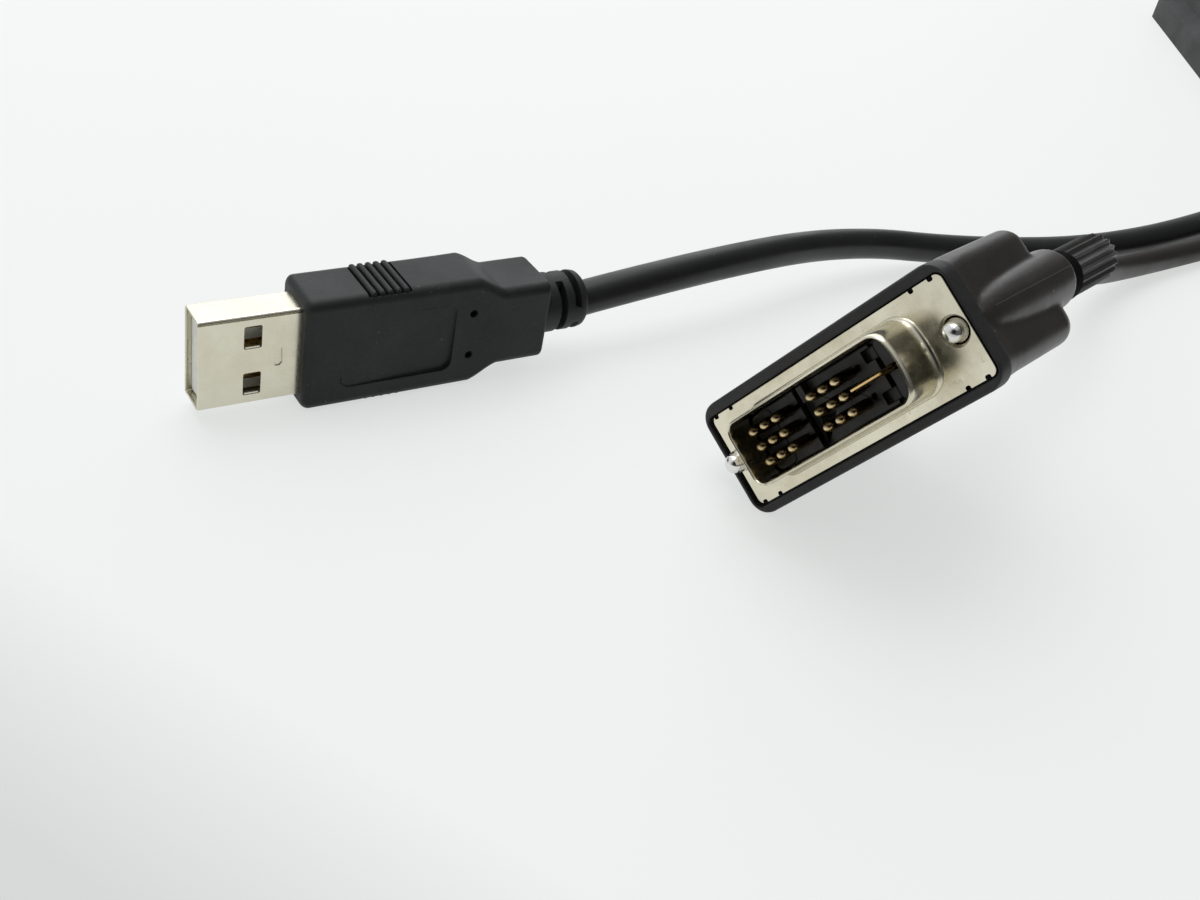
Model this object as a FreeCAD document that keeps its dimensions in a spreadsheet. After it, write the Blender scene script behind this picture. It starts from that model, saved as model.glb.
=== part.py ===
import FreeCAD, Part
import math
import os

import Sketcher
from FreeCAD import Vector

# A KVM dongle: a small network module with two short leads, one ending in a USB-A plug and one in
# a DVI-D single-link plug. The frame has its origin under the middle of the module, +X along the
# module towards its leads, +Z up. Each plug is built in a frame of its own and then seated:
#   USB plug   +X from the open end towards the lead, +Y across its thickness, +Z across its width
#   DVI plug   +Z out of the face, +X along the face, origin at the middle of the metal flange
DIMENSIONS = [
    # (alias, value, what it is)
    ("module_length", 72, "module, over its two ends"),
    ("module_width", 34, "module, over its two sides"),
    ("module_height", 18, "module, over base and lid"),
    ("wall", 1.8, "moulded wall of base and lid"),
    ("base_height", 5.5, "parting line of base and lid"),
    ("corner_round", 2.5, "upright corners of the module"),
    ("grip_length", 61, "sloped grip ledge along each side of the lid"),
    ("grip_depth", 2, "how far the ledge steps the lid in"),
    ("grip_rise", 3, "height of the ledge's slope"),
    ("board_level", 4.2, "underside of the circuit board"),
    ("board_thickness", 1.2, "circuit board"),
    ("jack_width", 16, "network jack, over its metal shield"),
    ("jack_height", 11.5, "network jack, over its metal shield"),
    ("jack_depth", 17, "network jack, front to back"),
    ("jack_level", 4.4, "underside of the network jack"),
    ("jack_bore_width", 11.8, "mouth of the network jack"),
    ("jack_bore_height", 7.0, "mouth of the network jack, below its contacts"),
    ("jack_bore_depth", 13, "depth of the network jack's mouth"),
    ("contact_pitch", 1.02, "the eight contacts of the network jack"),
    ("boot_length", 12, "lead boot outside the module's wall"),
    ("boot_spacing", 17, "between the axes of the two boots"),
    ("boot_level", 8, "height of the boots' axes"),
    ("usb_seat_x", 219.8, "middle of the USB plug's open end"),
    ("usb_seat_y", -197.9, "middle of the USB plug's open end"),
    ("usb_yaw", 125.5, "heading of the USB plug's axis"),
    ("usb_shell_thickness", 4.5, "plug shell, the short way"),
    ("usb_shell_width", 12, "plug shell, the wide way"),
    ("usb_shell_out", 12.2, "plug shell in front of the overmould"),
    ("usb_shell_in", 6.5, "plug shell held in the overmould"),
    ("usb_sheet", 0.3, "plug shell's metal"),
    ("usb_window_pitch", 6.3, "between the two windows of a wide face"),
    ("usb_mould_thickness", 8.1, "overmould, the short way"),
    ("usb_mould_width", 15, "overmould, the wide way"),
    ("usb_mould_block", 22.4, "length of the overmould's wide block"),
    ("usb_mould_taper", 3.5, "length of the overmould's taper"),
    ("usb_mould_tail", 6.9, "length of the overmould's rear block"),
    ("usb_tail_width", 11, "overmould's rear block, the wide way"),
    ("usb_relief_length", 6.4, "strain relief behind the rear block"),
    ("usb_relief_across", 7.4, "strain relief, diameter"),
    ("usb_lead_across", 4.7, "USB lead, diameter"),
    ("dvi_seat_x", 221.5, "middle of the DVI plug's flange"),
    ("dvi_seat_y", -125.3, "middle of the DVI plug's flange"),
    ("dvi_seat_z", 19.09, "middle of the DVI plug's flange"),
    ("dvi_yaw", 55.2, "heading of the DVI plug's long way"),
    ("dvi_pitch", -55.7, "tilt of the DVI plug's long way"),
    ("dvi_roll", 86.4, "turn of the DVI plug about its long way"),
    ("flange_length", 36, "metal flange, the long way"),
    ("flange_width", 11.7, "metal flange, the short way"),
    ("flange_sheet", 0.6, "metal flange"),
    ("shroud_length", 23.9, "inside of the shroud, the long way"),
    ("shroud_width", 7.8, "inside of the shroud, the short way"),
    ("shroud_sheet", 0.45, "shroud's metal"),
    ("shroud_reach", 5.6, "shroud in front of the flange"),
    ("shroud_shift", 0.3, "middle of the shroud from the middle of the flange"),
    ("screw_spacing", 33.3, "between the axes of the two screws"),
    ("pin_pitch", 1.905, "pins, along and across"),
    ("pin_first", -9.82, "first column of pins"),
    ("pin_across", 0.95, "pin, diameter"),
    ("pin_reach", 4.5, "pins in front of the flange"),
    ("insulator_reach", 1.2, "insulator in front of the flange"),
    ("rim_length", 37.4, "overmould's front rim, the long way"),
    ("rim_width", 14.4, "overmould's front rim, the short way"),
    ("rim_depth", 2.6, "overmould's front rim, front to back"),
    ("lobe_depth", 18.8, "corner lobes, behind the flange"),
    ("barrel_depth", 21.9, "screw barrels, behind the flange"),
    ("barrel_across", 7.2, "screw barrels, diameter"),
    ("dvi_body_depth", 28, "overmould's body, behind the flange"),
    ("dvi_relief_depth", 44, "end of the strain relief, behind the flange"),
    ("dvi_relief_across", 7.6, "strain relief, diameter"),
    ("screw_across", 2.84, "jackscrew, diameter"),
    ("screw_clearance", 0.06, "running gap round a jackscrew"),
    ("knob_across", 5.9, "knob over its ribs, diameter"),
    ("knob_length", 12, "knob"),
    ("knob_ribs", 16, "grooves round a knob"),
    ("dvi_lead_across", 4.2, "DVI lead, diameter"),
]

# Each lead runs straight between these points, with an arc at each. The first point is the plug's
# own exit, the last one is the face of its boot.
USB_BENDS = [
    (178.2, -139.6, 10.0),
    (154.0, -117.0, 6.5),
    (141.0, -94.5, 2.4),
    (130.0, -69.0, 2.4),
    (107.0, -41.0, 2.5),
    (80.0, -9.6, 7.8),
]
DVI_BENDS = [
    (170.0, -85.5, 17.2),
    (140.0, -72.0, 2.2),
    (101.5, -25.0, 2.2),
    (74.0, 8.3, 7.8),
]

doc = FreeCAD.newDocument("kvm_dongle")
nodes = {}


# ---------------------------------------------------------------- sizes that stay tied to the sheet
class Size:
    """A number together with the spreadsheet expression that gives it."""

    def __init__(self, value, text):
        self.value = float(value)
        self.text = text

    def __add__(self, other):
        other = size(other)
        return Size(self.value + other.value, f"({self.text} + {other.text})")

    def __sub__(self, other):
        other = size(other)
        return Size(self.value - other.value, f"({self.text} - {other.text})")

    def __mul__(self, other):
        other = size(other)
        return Size(self.value * other.value, f"({self.text} * {other.text})")

    def __truediv__(self, other):
        other = size(other)
        return Size(self.value / other.value, f"({self.text} / {other.text})")

    def __neg__(self):
        return Size(-self.value, f"(-1 * {self.text})")

    def __rsub__(self, other):
        return size(other) - self

    __radd__ = __add__
    __rmul__ = __mul__


def size(number):
    """The number as a Size, whether or not it is one already."""
    if isinstance(number, Size):
        return number
    return Size(number, f"({float(number)!r})")


class Dims:
    """The driving dimensions by name."""


def write_sheet():
    """Puts DIMENSIONS in the spreadsheet and returns them as Sizes."""
    sheet = doc.addObject("Spreadsheet::Sheet", "Dims")
    dims = Dims()
    for row, (alias, value, meaning) in enumerate(DIMENSIONS, start=1):
        sheet.set(f"A{row}", meaning)
        sheet.set(f"B{row}", str(value))
        sheet.setAlias(f"B{row}", alias)
        setattr(dims, alias, Size(value, f"Dims.{alias}"))
    doc.recompute()
    return dims


def bind(item, **sizes):
    """Ties properties of a document object to the sheet."""
    for prop, value in sizes.items():
        item.setExpression(prop, size(value).text)


def placement_text(at, turn=(0, 0, 0)):
    """The expression of a placement: a position and (yaw, pitch, roll) in degrees."""
    x, y, z = (size(c).text for c in at)
    yaw, pitch, roll = (size(c).text for c in turn)
    return (
        f"create(<<placement>>; create(<<vector>>; {x}; {y}; {z});"
        f" create(<<rotation>>; {yaw}; {pitch}; {roll}))"
    )


def put(item, at=(0, 0, 0), turn=(0, 0, 0), seat=None):
    """Places an item in its seat's frame, or in the module's frame where it has none."""
    text = placement_text(at, turn)
    item.setExpression("Placement", f"{seat.Name}.Placement * {text}" if seat else text)
    return item


def node(item, name):
    """Keeps the item as one sub-part of the dongle."""
    item.Label = name
    nodes[name] = item
    return item


# ---------------------------------------------------------------- primitives and booleans
LIE_ALONG = {"x": (0, 90, 0), "y": (0, 0, -90), "z": (0, 0, 0)}


def box(name, sizes, middle, seat=None):
    """A box round its middle point."""
    item = doc.addObject("Part::Box", name)
    bind(item, Length=sizes[0], Width=sizes[1], Height=sizes[2])
    corner = [size(m) - size(s) / 2 for m, s in zip(middle, sizes)]
    return put(item, corner, seat=seat)


def rod(name, across, length, start, along="z", seat=None):
    """A cylinder from its start point, along an axis of its frame."""
    item = doc.addObject("Part::Cylinder", name)
    bind(item, Radius=size(across) / 2, Height=length)
    return put(item, start, LIE_ALONG[along], seat)


def taper(name, wide, narrow, length, start, along="z", seat=None):
    """A cone frustum from its wide end."""
    item = doc.addObject("Part::Cone", name)
    bind(item, Radius1=size(wide) / 2, Radius2=size(narrow) / 2, Height=length)
    return put(item, start, LIE_ALONG[along], seat)


def joined(name, pieces, seat=None):
    item = doc.addObject("Part::MultiFuse", name)
    item.Shapes = pieces
    item.Refine = True
    return put(item, seat=seat)


def cut(name, base, tools, seat=None):
    """The base without the tools."""
    tool = tools[0] if len(tools) == 1 else joined(name + "_tools", tools)
    item = doc.addObject("Part::Cut", name)
    item.Base, item.Tool = base, tool
    item.Refine = True
    return put(item, seat=seat)


def edges_where(shape, test):
    """The numbers of the edges whose box passes the test."""
    return [i for i, edge in enumerate(shape.Edges, start=1) if test(edge.BoundBox)]


def rounded(name, base, radius, test, seat=None):
    """The base with the chosen edges rounded."""
    doc.recompute()
    item = doc.addObject("Part::Fillet", name)
    item.Base = base
    chosen = edges_where(base.Shape, test)
    item.Edges = [(i, size(radius).value, size(radius).value) for i in chosen]
    return put(item, seat=seat)


def runs_along(axis, long_enough=0.3):
    """A test for straight edges along one axis."""
    others = [a for a in "XYZ" if a != axis.upper()]

    def test(bounds):
        spans = {a: getattr(bounds, a + "Length") for a in "XYZ"}
        return spans[axis.upper()] > long_enough and all(spans[a] < 1e-4 for a in others)

    return test


# ---------------------------------------------------------------- sketches
def new_body(name, seat=None):
    body = doc.addObject("PartDesign::Body", name)
    return put(body, seat=seat)


def new_sketch(body, name, plane, level=0, shift=0):
    """A sketch on one of the body's own planes, moved along the plane's normal and its own X."""
    sketch = body.newObject("Sketcher::SketchObject", name)
    support = next(o for o in body.Origin.OriginFeatures if o.Role == plane)
    sketch.AttachmentSupport = [(support, "")]
    sketch.MapMode = "FlatFace"
    sketch.setExpression("AttachmentOffset.Base.x", size(shift).text)
    sketch.setExpression("AttachmentOffset.Base.z", size(level).text)
    return sketch


def tie(sketch, name, constraint, value):
    """Adds a sized constraint and binds it to the sheet."""
    index = sketch.addConstraint(constraint)
    sketch.renameConstraint(index, name)
    sketch.setExpression("Constraints." + name, size(value).text)


def tie_point(sketch, name, geometry, end, x, y):
    """Holds a point at x, y from the sketch's origin, whatever their signs."""
    for kind, letter, value, axis in (("DistanceX", "x", x, -2), ("DistanceY", "y", y, -1)):
        value = size(value)
        if abs(value.value) < 1e-9:
            sketch.addConstraint(Sketcher.Constraint("PointOnObject", geometry, end, axis))
        elif value.value > 0:
            rule = Sketcher.Constraint(kind, -1, 1, geometry, end, value.value)
            tie(sketch, f"{name}_{letter}", rule, value)
        else:
            rule = Sketcher.Constraint(kind, geometry, end, -1, 1, -value.value)
            tie(sketch, f"{name}_{letter}", rule, -value)


def draw_polygon(sketch, corners, name="corner"):
    """A closed outline through the corners, each held at its place."""
    corners = [(size(x), size(y)) for x, y in corners]
    points = [Vector(x.value, y.value, 0) for x, y in corners]
    first = sketch.GeometryCount
    for here, there in zip(points, points[1:] + points[:1]):
        sketch.addGeometry(Part.LineSegment(here, there), False)
    for i in range(len(points)):
        following = first + (i + 1) % len(points)
        sketch.addConstraint(Sketcher.Constraint("Coincident", first + i, 2, following, 1))
    for i, (x, y) in enumerate(corners):
        tie_point(sketch, f"{name}_{first + i}", first + i, 1, x, y)


def draw_circle(sketch, name, across, x=0, y=0):
    x, y, across = size(x), size(y), size(across)
    circle = Part.Circle(Vector(x.value, y.value, 0), Vector(0, 0, 1), across.value / 2)
    index = sketch.addGeometry(circle, False)
    tie(sketch, name + "_across", Sketcher.Constraint("Diameter", index, across.value), across)
    tie_point(sketch, name + "_centre", index, 3, x, y)


def draw_rounded(sketch, name, wide, tall, corner, x=0, y=0):
    """A rectangle with round corners about the point x, y."""
    wide, tall, corner, x, y = (size(v) for v in (wide, tall, corner, x, y))
    r = corner.value
    left, right = x.value - wide.value / 2, x.value + wide.value / 2
    low, high = y.value - tall.value / 2, y.value + tall.value / 2
    first = sketch.GeometryCount
    turns = [
        (right - r, low + r, -0.5),
        (right - r, high - r, 0.0),
        (left + r, high - r, 0.5),
        (left + r, low + r, 1.0),
    ]
    arcs = []
    for cx, cy, start in turns:
        circle = Part.Circle(Vector(cx, cy, 0), Vector(0, 0, 1), r)
        arcs.append(Part.ArcOfCircle(circle, start * math.pi, (start + 0.5) * math.pi))
    for i, arc in enumerate(arcs):
        sketch.addGeometry(arc, False)
        following = arcs[(i + 1) % 4]
        sketch.addGeometry(Part.LineSegment(arc.EndPoint, following.StartPoint), False)
    for i in range(4):
        arc, line = first + 2 * i, first + 2 * i + 1
        next_arc = first + (2 * i + 2) % 8
        sketch.addConstraint(Sketcher.Constraint("Tangent", arc, 2, line, 1))
        sketch.addConstraint(Sketcher.Constraint("Tangent", line, 2, next_arc, 1))
        if i:
            sketch.addConstraint(Sketcher.Constraint("Equal", first, arc))
    for i, kind in enumerate(("Vertical", "Horizontal", "Vertical", "Horizontal")):
        sketch.addConstraint(Sketcher.Constraint(kind, first + 2 * i + 1))
    tie(sketch, name + "_round", Sketcher.Constraint("Radius", first, r), corner)
    tie_point(sketch, name + "_right_top", first + 1, 2, x + wide / 2, y + tall / 2 - corner)
    tie_point(sketch, name + "_left_low", first + 5, 2, x - wide / 2, y - tall / 2 + corner)


def pad(body, sketch, length, both_ways=False, back=False):
    feature = body.newObject("PartDesign::Pad", sketch.Name + "_pad")
    feature.Profile = sketch
    feature.SideType = "Symmetric" if both_ways else "One side"
    feature.Reversed = back
    bind(feature, Length=length)
    sketch.Visibility = False
    return feature


def pocket(body, sketch, length, both_ways=False, back=False):
    """A pocket of one depth. It has to take something away."""
    doc.recompute()
    before = body.Shape.Volume
    feature = body.newObject("PartDesign::Pocket", sketch.Name + "_pocket")
    feature.Profile = sketch
    feature.SideType = "Symmetric" if both_ways else "One side"
    feature.Reversed = back
    bind(feature, Length=length)
    doc.recompute()
    if body.Shape.Volume > before - 1e-6:
        raise ValueError(f"{feature.Name} takes nothing away")
    return feature


def round_edges(body, name, radius, test):
    """Rounds the edges of the body's last feature that pass the test."""
    doc.recompute()
    last = body.Tip
    feature = body.newObject("PartDesign::Fillet", name)
    feature.Base = (last, [f"Edge{i}" for i in edges_where(last.Shape, test)])
    bind(feature, Radius=radius)
    return feature


d = write_sheet()


def seat(name, at, turn):
    """The frame that a plug is built in."""
    return put(doc.addObject("Part::Vertex", name), at, turn)


# ---------------------------------------------------------------- USB plug
usb_seat = seat(
    "usb_seat", (d.usb_seat_x, d.usb_seat_y, d.usb_mould_width / 2), (d.usb_yaw, 0, 0)
)
usb_block_end = d.usb_shell_out + d.usb_mould_block
usb_taper_end = usb_block_end + d.usb_mould_taper
usb_tail_end = usb_taper_end + d.usb_mould_tail
usb_exit = usb_tail_end + d.usb_relief_length
usb_shell_length = d.usb_shell_out + d.usb_shell_in
USB_SEAM = 0.12
WINDOW = (2.0, 2.5)
TONGUE = (11.6, 1.9, 11.0)


def make_usb_shell():
    """The folded metal shell: a sleeve with two windows in each wide face and a seam."""
    body = new_body("usb_shell_body", usb_seat)
    outline = new_sketch(body, "usb_shell_outline", "YZ_Plane")
    draw_rounded(outline, "shell", d.usb_shell_thickness, d.usb_shell_width, 0.55)
    pad(body, outline, usb_shell_length)
    bore = new_sketch(body, "usb_shell_bore", "YZ_Plane")
    inside = d.usb_shell_thickness - 2 * d.usb_sheet
    draw_rounded(bore, "bore", inside, d.usb_shell_width - 2 * d.usb_sheet, 0.25)
    pocket(body, bore, usb_shell_length, back=True)
    windows = new_sketch(body, "usb_shell_windows", "XZ_Plane")
    for i, side in enumerate((-1, 1)):
        place = side * d.usb_window_pitch / 2
        draw_rounded(windows, f"window{i}", *WINDOW, 0.2, x=6.45, y=place)
    pocket(body, windows, d.usb_shell_thickness + 1, both_ways=True)
    seam = new_sketch(body, "usb_shell_seam", "XZ_Plane")
    seam_level = d.usb_shell_width / 2 - 0.55
    draw_polygon(
        seam,
        [
            (-1, seam_level),
            (usb_shell_length + 1, seam_level),
            (usb_shell_length + 1, seam_level + USB_SEAM),
            (-1, seam_level + USB_SEAM),
        ],
    )
    pocket(body, seam, d.usb_shell_thickness, back=True)
    return node(body, "usb_shell")


def make_usb_inside():
    """The white tongue with its four contacts, and the block behind them."""
    inside = d.usb_shell_thickness - 2 * d.usb_sheet
    wide = d.usb_shell_width - 2 * d.usb_sheet
    tongue_y = inside / 2 - size(TONGUE[1]) / 2
    tongue = box("tongue", TONGUE, (0.7 + TONGUE[0] / 2, tongue_y, 0))
    block_start = 0.7 + TONGUE[0]
    block_length = usb_shell_length - block_start
    block = box("tongue_block", (block_length, inside, wide), (block_start + block_length / 2, 0, 0))
    block = rounded("tongue_block_round", block, 0.25, runs_along("x"))
    contact_y = tongue_y - size(TONGUE[1]) / 2 + 0.1
    slots = []
    for i, (place, start) in enumerate(((-3.5, 1.6), (-1.0, 2.6), (1.0, 2.6), (3.5, 1.6)), start=1):
        length = usb_shell_length + 1.2 - start
        sizes = (length, 0.25, 1.0)
        middle = (start + length / 2, contact_y, place)
        node(box(f"usb_contact_{i}_strip", sizes, middle, usb_seat), f"usb_contact_{i}")
        slots.append(box(f"contact_slot_{i}", sizes, middle))
    base = joined("tongue_whole", [tongue, block])
    node(cut("usb_insulator_cut", base, slots, usb_seat), "usb_insulator")
    filler_length = size(11.8)
    filler = box(
        "usb_filler",
        (filler_length, 5.2, 10.6),
        (usb_shell_length + filler_length / 2, 0, 0),
    )
    sockets = [
        box(f"filler_socket_{i}", (1.2, 0.25, 1.0), (usb_shell_length + 0.6, contact_y, place))
        for i, place in enumerate((-3.5, -1.0, 1.0, 3.5))
    ]
    filler = rounded("usb_filler_round", filler, 0.6, runs_along("x"))
    node(cut("usb_inner_mould_cut", filler, sockets, usb_seat), "usb_inner_mould")


def relief_slots(body, name, plane, near):
    """A ring of two slots round the relief, about the plane, with a bridge between their ends."""
    rings = new_sketch(body, f"usb_relief_{name}", plane)
    outer = d.usb_relief_across / 2 + 0.5
    inner = d.usb_lead_across / 2 + 0.6
    far = near + 1.0
    for i, sign in enumerate((-1, 1)):
        corners = [(near, inner), (far, inner), (far, outer), (near, outer)]
        draw_polygon(rings, [(x, sign * r) for x, r in corners], name=f"slot{i}")
    doc.recompute()
    before = body.Shape.Volume
    groove = body.newObject("PartDesign::Groove", f"usb_relief_{name}_slots")
    groove.Profile = rings
    groove.ReferenceAxis = (rings, ["H_Axis"])
    groove.Angle = 146
    groove.Midplane = True
    doc.recompute()
    if body.Shape.Volume > before - 1e-6:
        raise ValueError("the relief's slots take nothing away")


def make_usb_overmould():
    """The grip: a block with a taper, grip grooves, a recess each side and a ringed relief."""
    body = new_body("usb_overmould_body", usb_seat)
    outline = new_sketch(body, "usb_mould_outline", "XZ_Plane")
    half, tail = d.usb_mould_width / 2, d.usb_tail_width / 2
    upper = [
        (d.usb_shell_out, half),
        (usb_block_end, half),
        (usb_taper_end, tail),
        (usb_tail_end, tail),
    ]
    draw_polygon(outline, upper + [(x, -z) for x, z in reversed(upper)])
    pad(body, outline, d.usb_mould_thickness, both_ways=True)
    round_edges(body, "usb_mould_corners", 1.1, runs_along("y"))
    side = d.usb_mould_thickness.value / 2
    round_edges(
        body,
        "usb_mould_edges",
        0.9,
        lambda b: b.YLength < 1e-4 and abs(abs(b.YMax) - side) < 1e-4,
    )
    relief = new_sketch(body, "usb_relief_outline", "YZ_Plane", usb_tail_end - 0.5)
    draw_circle(relief, "relief", d.usb_relief_across)
    pad(body, relief, d.usb_relief_length + 0.5)
    relief_slots(body, "sides", "XY_Plane", usb_tail_end + 1.95)
    relief_slots(body, "edges", "XZ_Plane", usb_tail_end + 4.1)
    mouth = new_sketch(body, "usb_mould_mouth", "YZ_Plane", d.usb_shell_out - 1)
    draw_rounded(mouth, "mouth", d.usb_shell_thickness, d.usb_shell_width, 0.55)
    pocket(body, mouth, d.usb_shell_in + 1, back=True)
    core = new_sketch(body, "usb_mould_core", "YZ_Plane", usb_shell_length)
    draw_rounded(core, "core", 5.2, 10.6, 0.6)
    pocket(body, core, 11.8, back=True)
    for name, level, back in (("near", side - 0.3, True), ("far", 0.3 - side, False)):
        recess = new_sketch(body, f"usb_recess_{name}", "XZ_Plane", level)
        middle = usb_block_end - 10.45
        draw_rounded(recess, "recess", 14.7, 9.5, 1.3, x=middle)
        pocket(body, recess, 1.0, back=back)
    dots = new_sketch(body, "usb_mould_dots", "XZ_Plane", side - 1.2)
    for i, place in enumerate((-3.0, 3.0)):
        draw_circle(dots, f"dot{i}", 1.0, usb_block_end - 0.7, place)
    pocket(body, dots, 2.0, back=True)
    grips = new_sketch(body, "usb_mould_grips", "XZ_Plane")
    for i in range(6):
        x = usb_block_end - 14.8 + 1.045 * i
        for j, sign in enumerate((-1, 1)):
            low, high = half - 0.6, half + 0.5
            draw_polygon(
                grips,
                [
                    (x, sign * low),
                    (x + 0.48, sign * low),
                    (x + 0.48, sign * high),
                    (x, sign * high),
                ],
                name=f"grip{i}{j}",
            )
    pocket(body, grips, 6.2, both_ways=True)
    return node(body, "usb_overmould")


# ---------------------------------------------------------------- DVI plug
dvi_seat = seat(
    "dvi_seat",
    (d.dvi_seat_x, d.dvi_seat_y, d.dvi_seat_z),
    (d.dvi_yaw, d.dvi_pitch, d.dvi_roll),
)
NOTCHES = (14.4, 17.1)
# each screw's side, how far its tip stands in front of the flange, and its knob's gap to the barrel
SCREWS = {"left": (-1, 2.0, 0.1), "right": (1, 0.5, 1.6)}
MISSING_COLUMNS = (4, 5)


def shroud_solid(name, grow, start, length):
    """The D of the shroud: a round-cornered box whose right end follows a large arc."""
    half = d.shroud_length / 2
    block = box(
        name + "_block",
        (d.shroud_length + 2 * grow, d.shroud_width + 2 * grow, length),
        (d.shroud_shift, 0, size(start) + size(length) / 2),
    )
    arc = size(8.7) + grow
    round_end = rod(
        name + "_end", 2 * arc, length, (d.shroud_shift + half - 8.7, 0, start)
    )
    round_end_block = box(
        name + "_end_block",
        (d.shroud_length, d.shroud_width * 3, length),
        (d.shroud_shift - 8.7, 0, size(start) + size(length) / 2),
    )
    limit = joined(name + "_limit", [round_end, round_end_block])
    whole = doc.addObject("Part::Common", name + "_whole")
    whole.Base, whole.Tool = block, limit
    whole.Refine = True
    return rounded(name, whole, 1.15 + size(grow).value, runs_along("z"))


def make_dvi_front_shell():
    """The drawn metal face: a flange with notched long edges, and the shroud standing on it."""
    plate = box(
        "flange_plate",
        (d.flange_length, d.flange_width, d.flange_sheet),
        (0, 0, -d.flange_sheet / 2),
    )
    plate = rounded("flange_round", plate, 1.0, runs_along("z"))
    foot = shroud_solid("shroud_foot", d.shroud_sheet + 0.7, -d.flange_sheet, d.flange_sheet + 0.35)
    wall = shroud_solid("shroud_wall", d.shroud_sheet, -d.flange_sheet, d.flange_sheet + d.shroud_reach)
    face = joined("dvi_face", [plate, foot, wall])
    tools = [shroud_solid("shroud_bore", size(0), -2, d.shroud_reach + 4)]
    for side, (sign, *_) in SCREWS.items():
        tools.append(rod(f"face_hole_{side}", 3.2, 4, (sign * d.screw_spacing / 2, 0, -2)))
    for sign_x in (-1, 1):
        for sign_y in (-1, 1):
            for place in NOTCHES:
                middle = (sign_x * place, sign_y * (d.flange_width / 2), -d.flange_sheet / 2)
                tools.append(box("notch", (0.55, 1.0, 2), middle))
    node(cut("dvi_front_shell_cut", face, tools, dvi_seat), "dvi_front_shell")


def make_dvi_rear_shell():
    """The metal can behind the flange, round the insulator."""
    depth = 9.0
    back = -d.flange_sheet
    outside = box("rear_can", (29.2, 10.9, depth), (d.shroud_shift, 0, back - depth / 2))
    outside = rounded("rear_can_round", outside, 0.8, runs_along("z"))
    inside = box("rear_can_bore", (28.2, 9.9, depth + 2), (d.shroud_shift, 0, back - depth / 2))
    node(cut("dvi_rear_shell_cut", outside, [inside], dvi_seat), "dvi_rear_shell")


def pin_places():
    """The row letter, column number, x and y of each pin."""
    for row, letter in enumerate("abc"):
        for column in range(1, 9):
            if column in MISSING_COLUMNS:
                continue
            x = d.pin_first + (column - 1) * d.pin_pitch
            yield letter, column, x, (1 - row) * d.pin_pitch


def make_dvi_inside():
    """The insulator, its eighteen pins and the flat ground blade."""
    rear = -d.flange_sheet
    front = shroud_solid("insulator_front", size(-0.05), rear, d.insulator_reach - rear)
    back = box("insulator_back", (28.2, 9.9, 6.4), (d.shroud_shift, 0, rear - 3.2))
    tools = [
        box("insulator_gap", (3.1, 7.0, 1.6), (-2.85, 0, d.insulator_reach)),
        box("insulator_socket_high", (1.8, 1.4, 2.4), (7.1, 2.6, d.insulator_reach)),
        box("insulator_socket_low", (1.8, 1.4, 2.4), (6.9, -2.4, d.insulator_reach)),
        box("blade_slot", (4.5, 0.6, 20), (6.95, 0.1, 0)),
    ]
    for letter, column, x, y in pin_places():
        tip = d.pin_reach
        length = size(12.0)
        name = f"pin_{letter}{column}"
        shank = rod(name + "_shank", d.pin_across, length - 0.35, (x, y, tip - length))
        point = taper(name + "_point", d.pin_across, 0.5, 0.35, (x, y, tip - 0.35))
        pin = joined(name + "_whole", [shank, point], dvi_seat)
        tools.append(rod(f"pin_{letter}{column}_hole", d.pin_across, 20, (x, y, -10)))
        node(pin, f"dvi_pin_{letter}{column}")
    blade = box("blade", (4.5, 0.6, 11.8), (6.95, 0.1, 4.3 - 5.9))
    blade = rounded(
        "blade_round", blade, 0.25, lambda b: b.ZLength < 1e-4 and b.ZMin > 4, dvi_seat
    )
    node(blade, "dvi_ground_blade")
    whole = joined("insulator_whole", [front, back])
    node(cut("dvi_insulator_cut", whole, tools, dvi_seat), "dvi_insulator")


def make_dvi_inner_mould():
    """The hard filling behind the can, which holds the soldered wires."""
    start = -(d.flange_sheet + 9.0)
    filling = box("dvi_filling", (26.0, 10.4, 11.0), (d.shroud_shift, 0, start - 5.5))
    filling = rounded("dvi_filling_round", filling, 1.5, runs_along("z"), dvi_seat)
    node(filling, "dvi_inner_mould")


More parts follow.
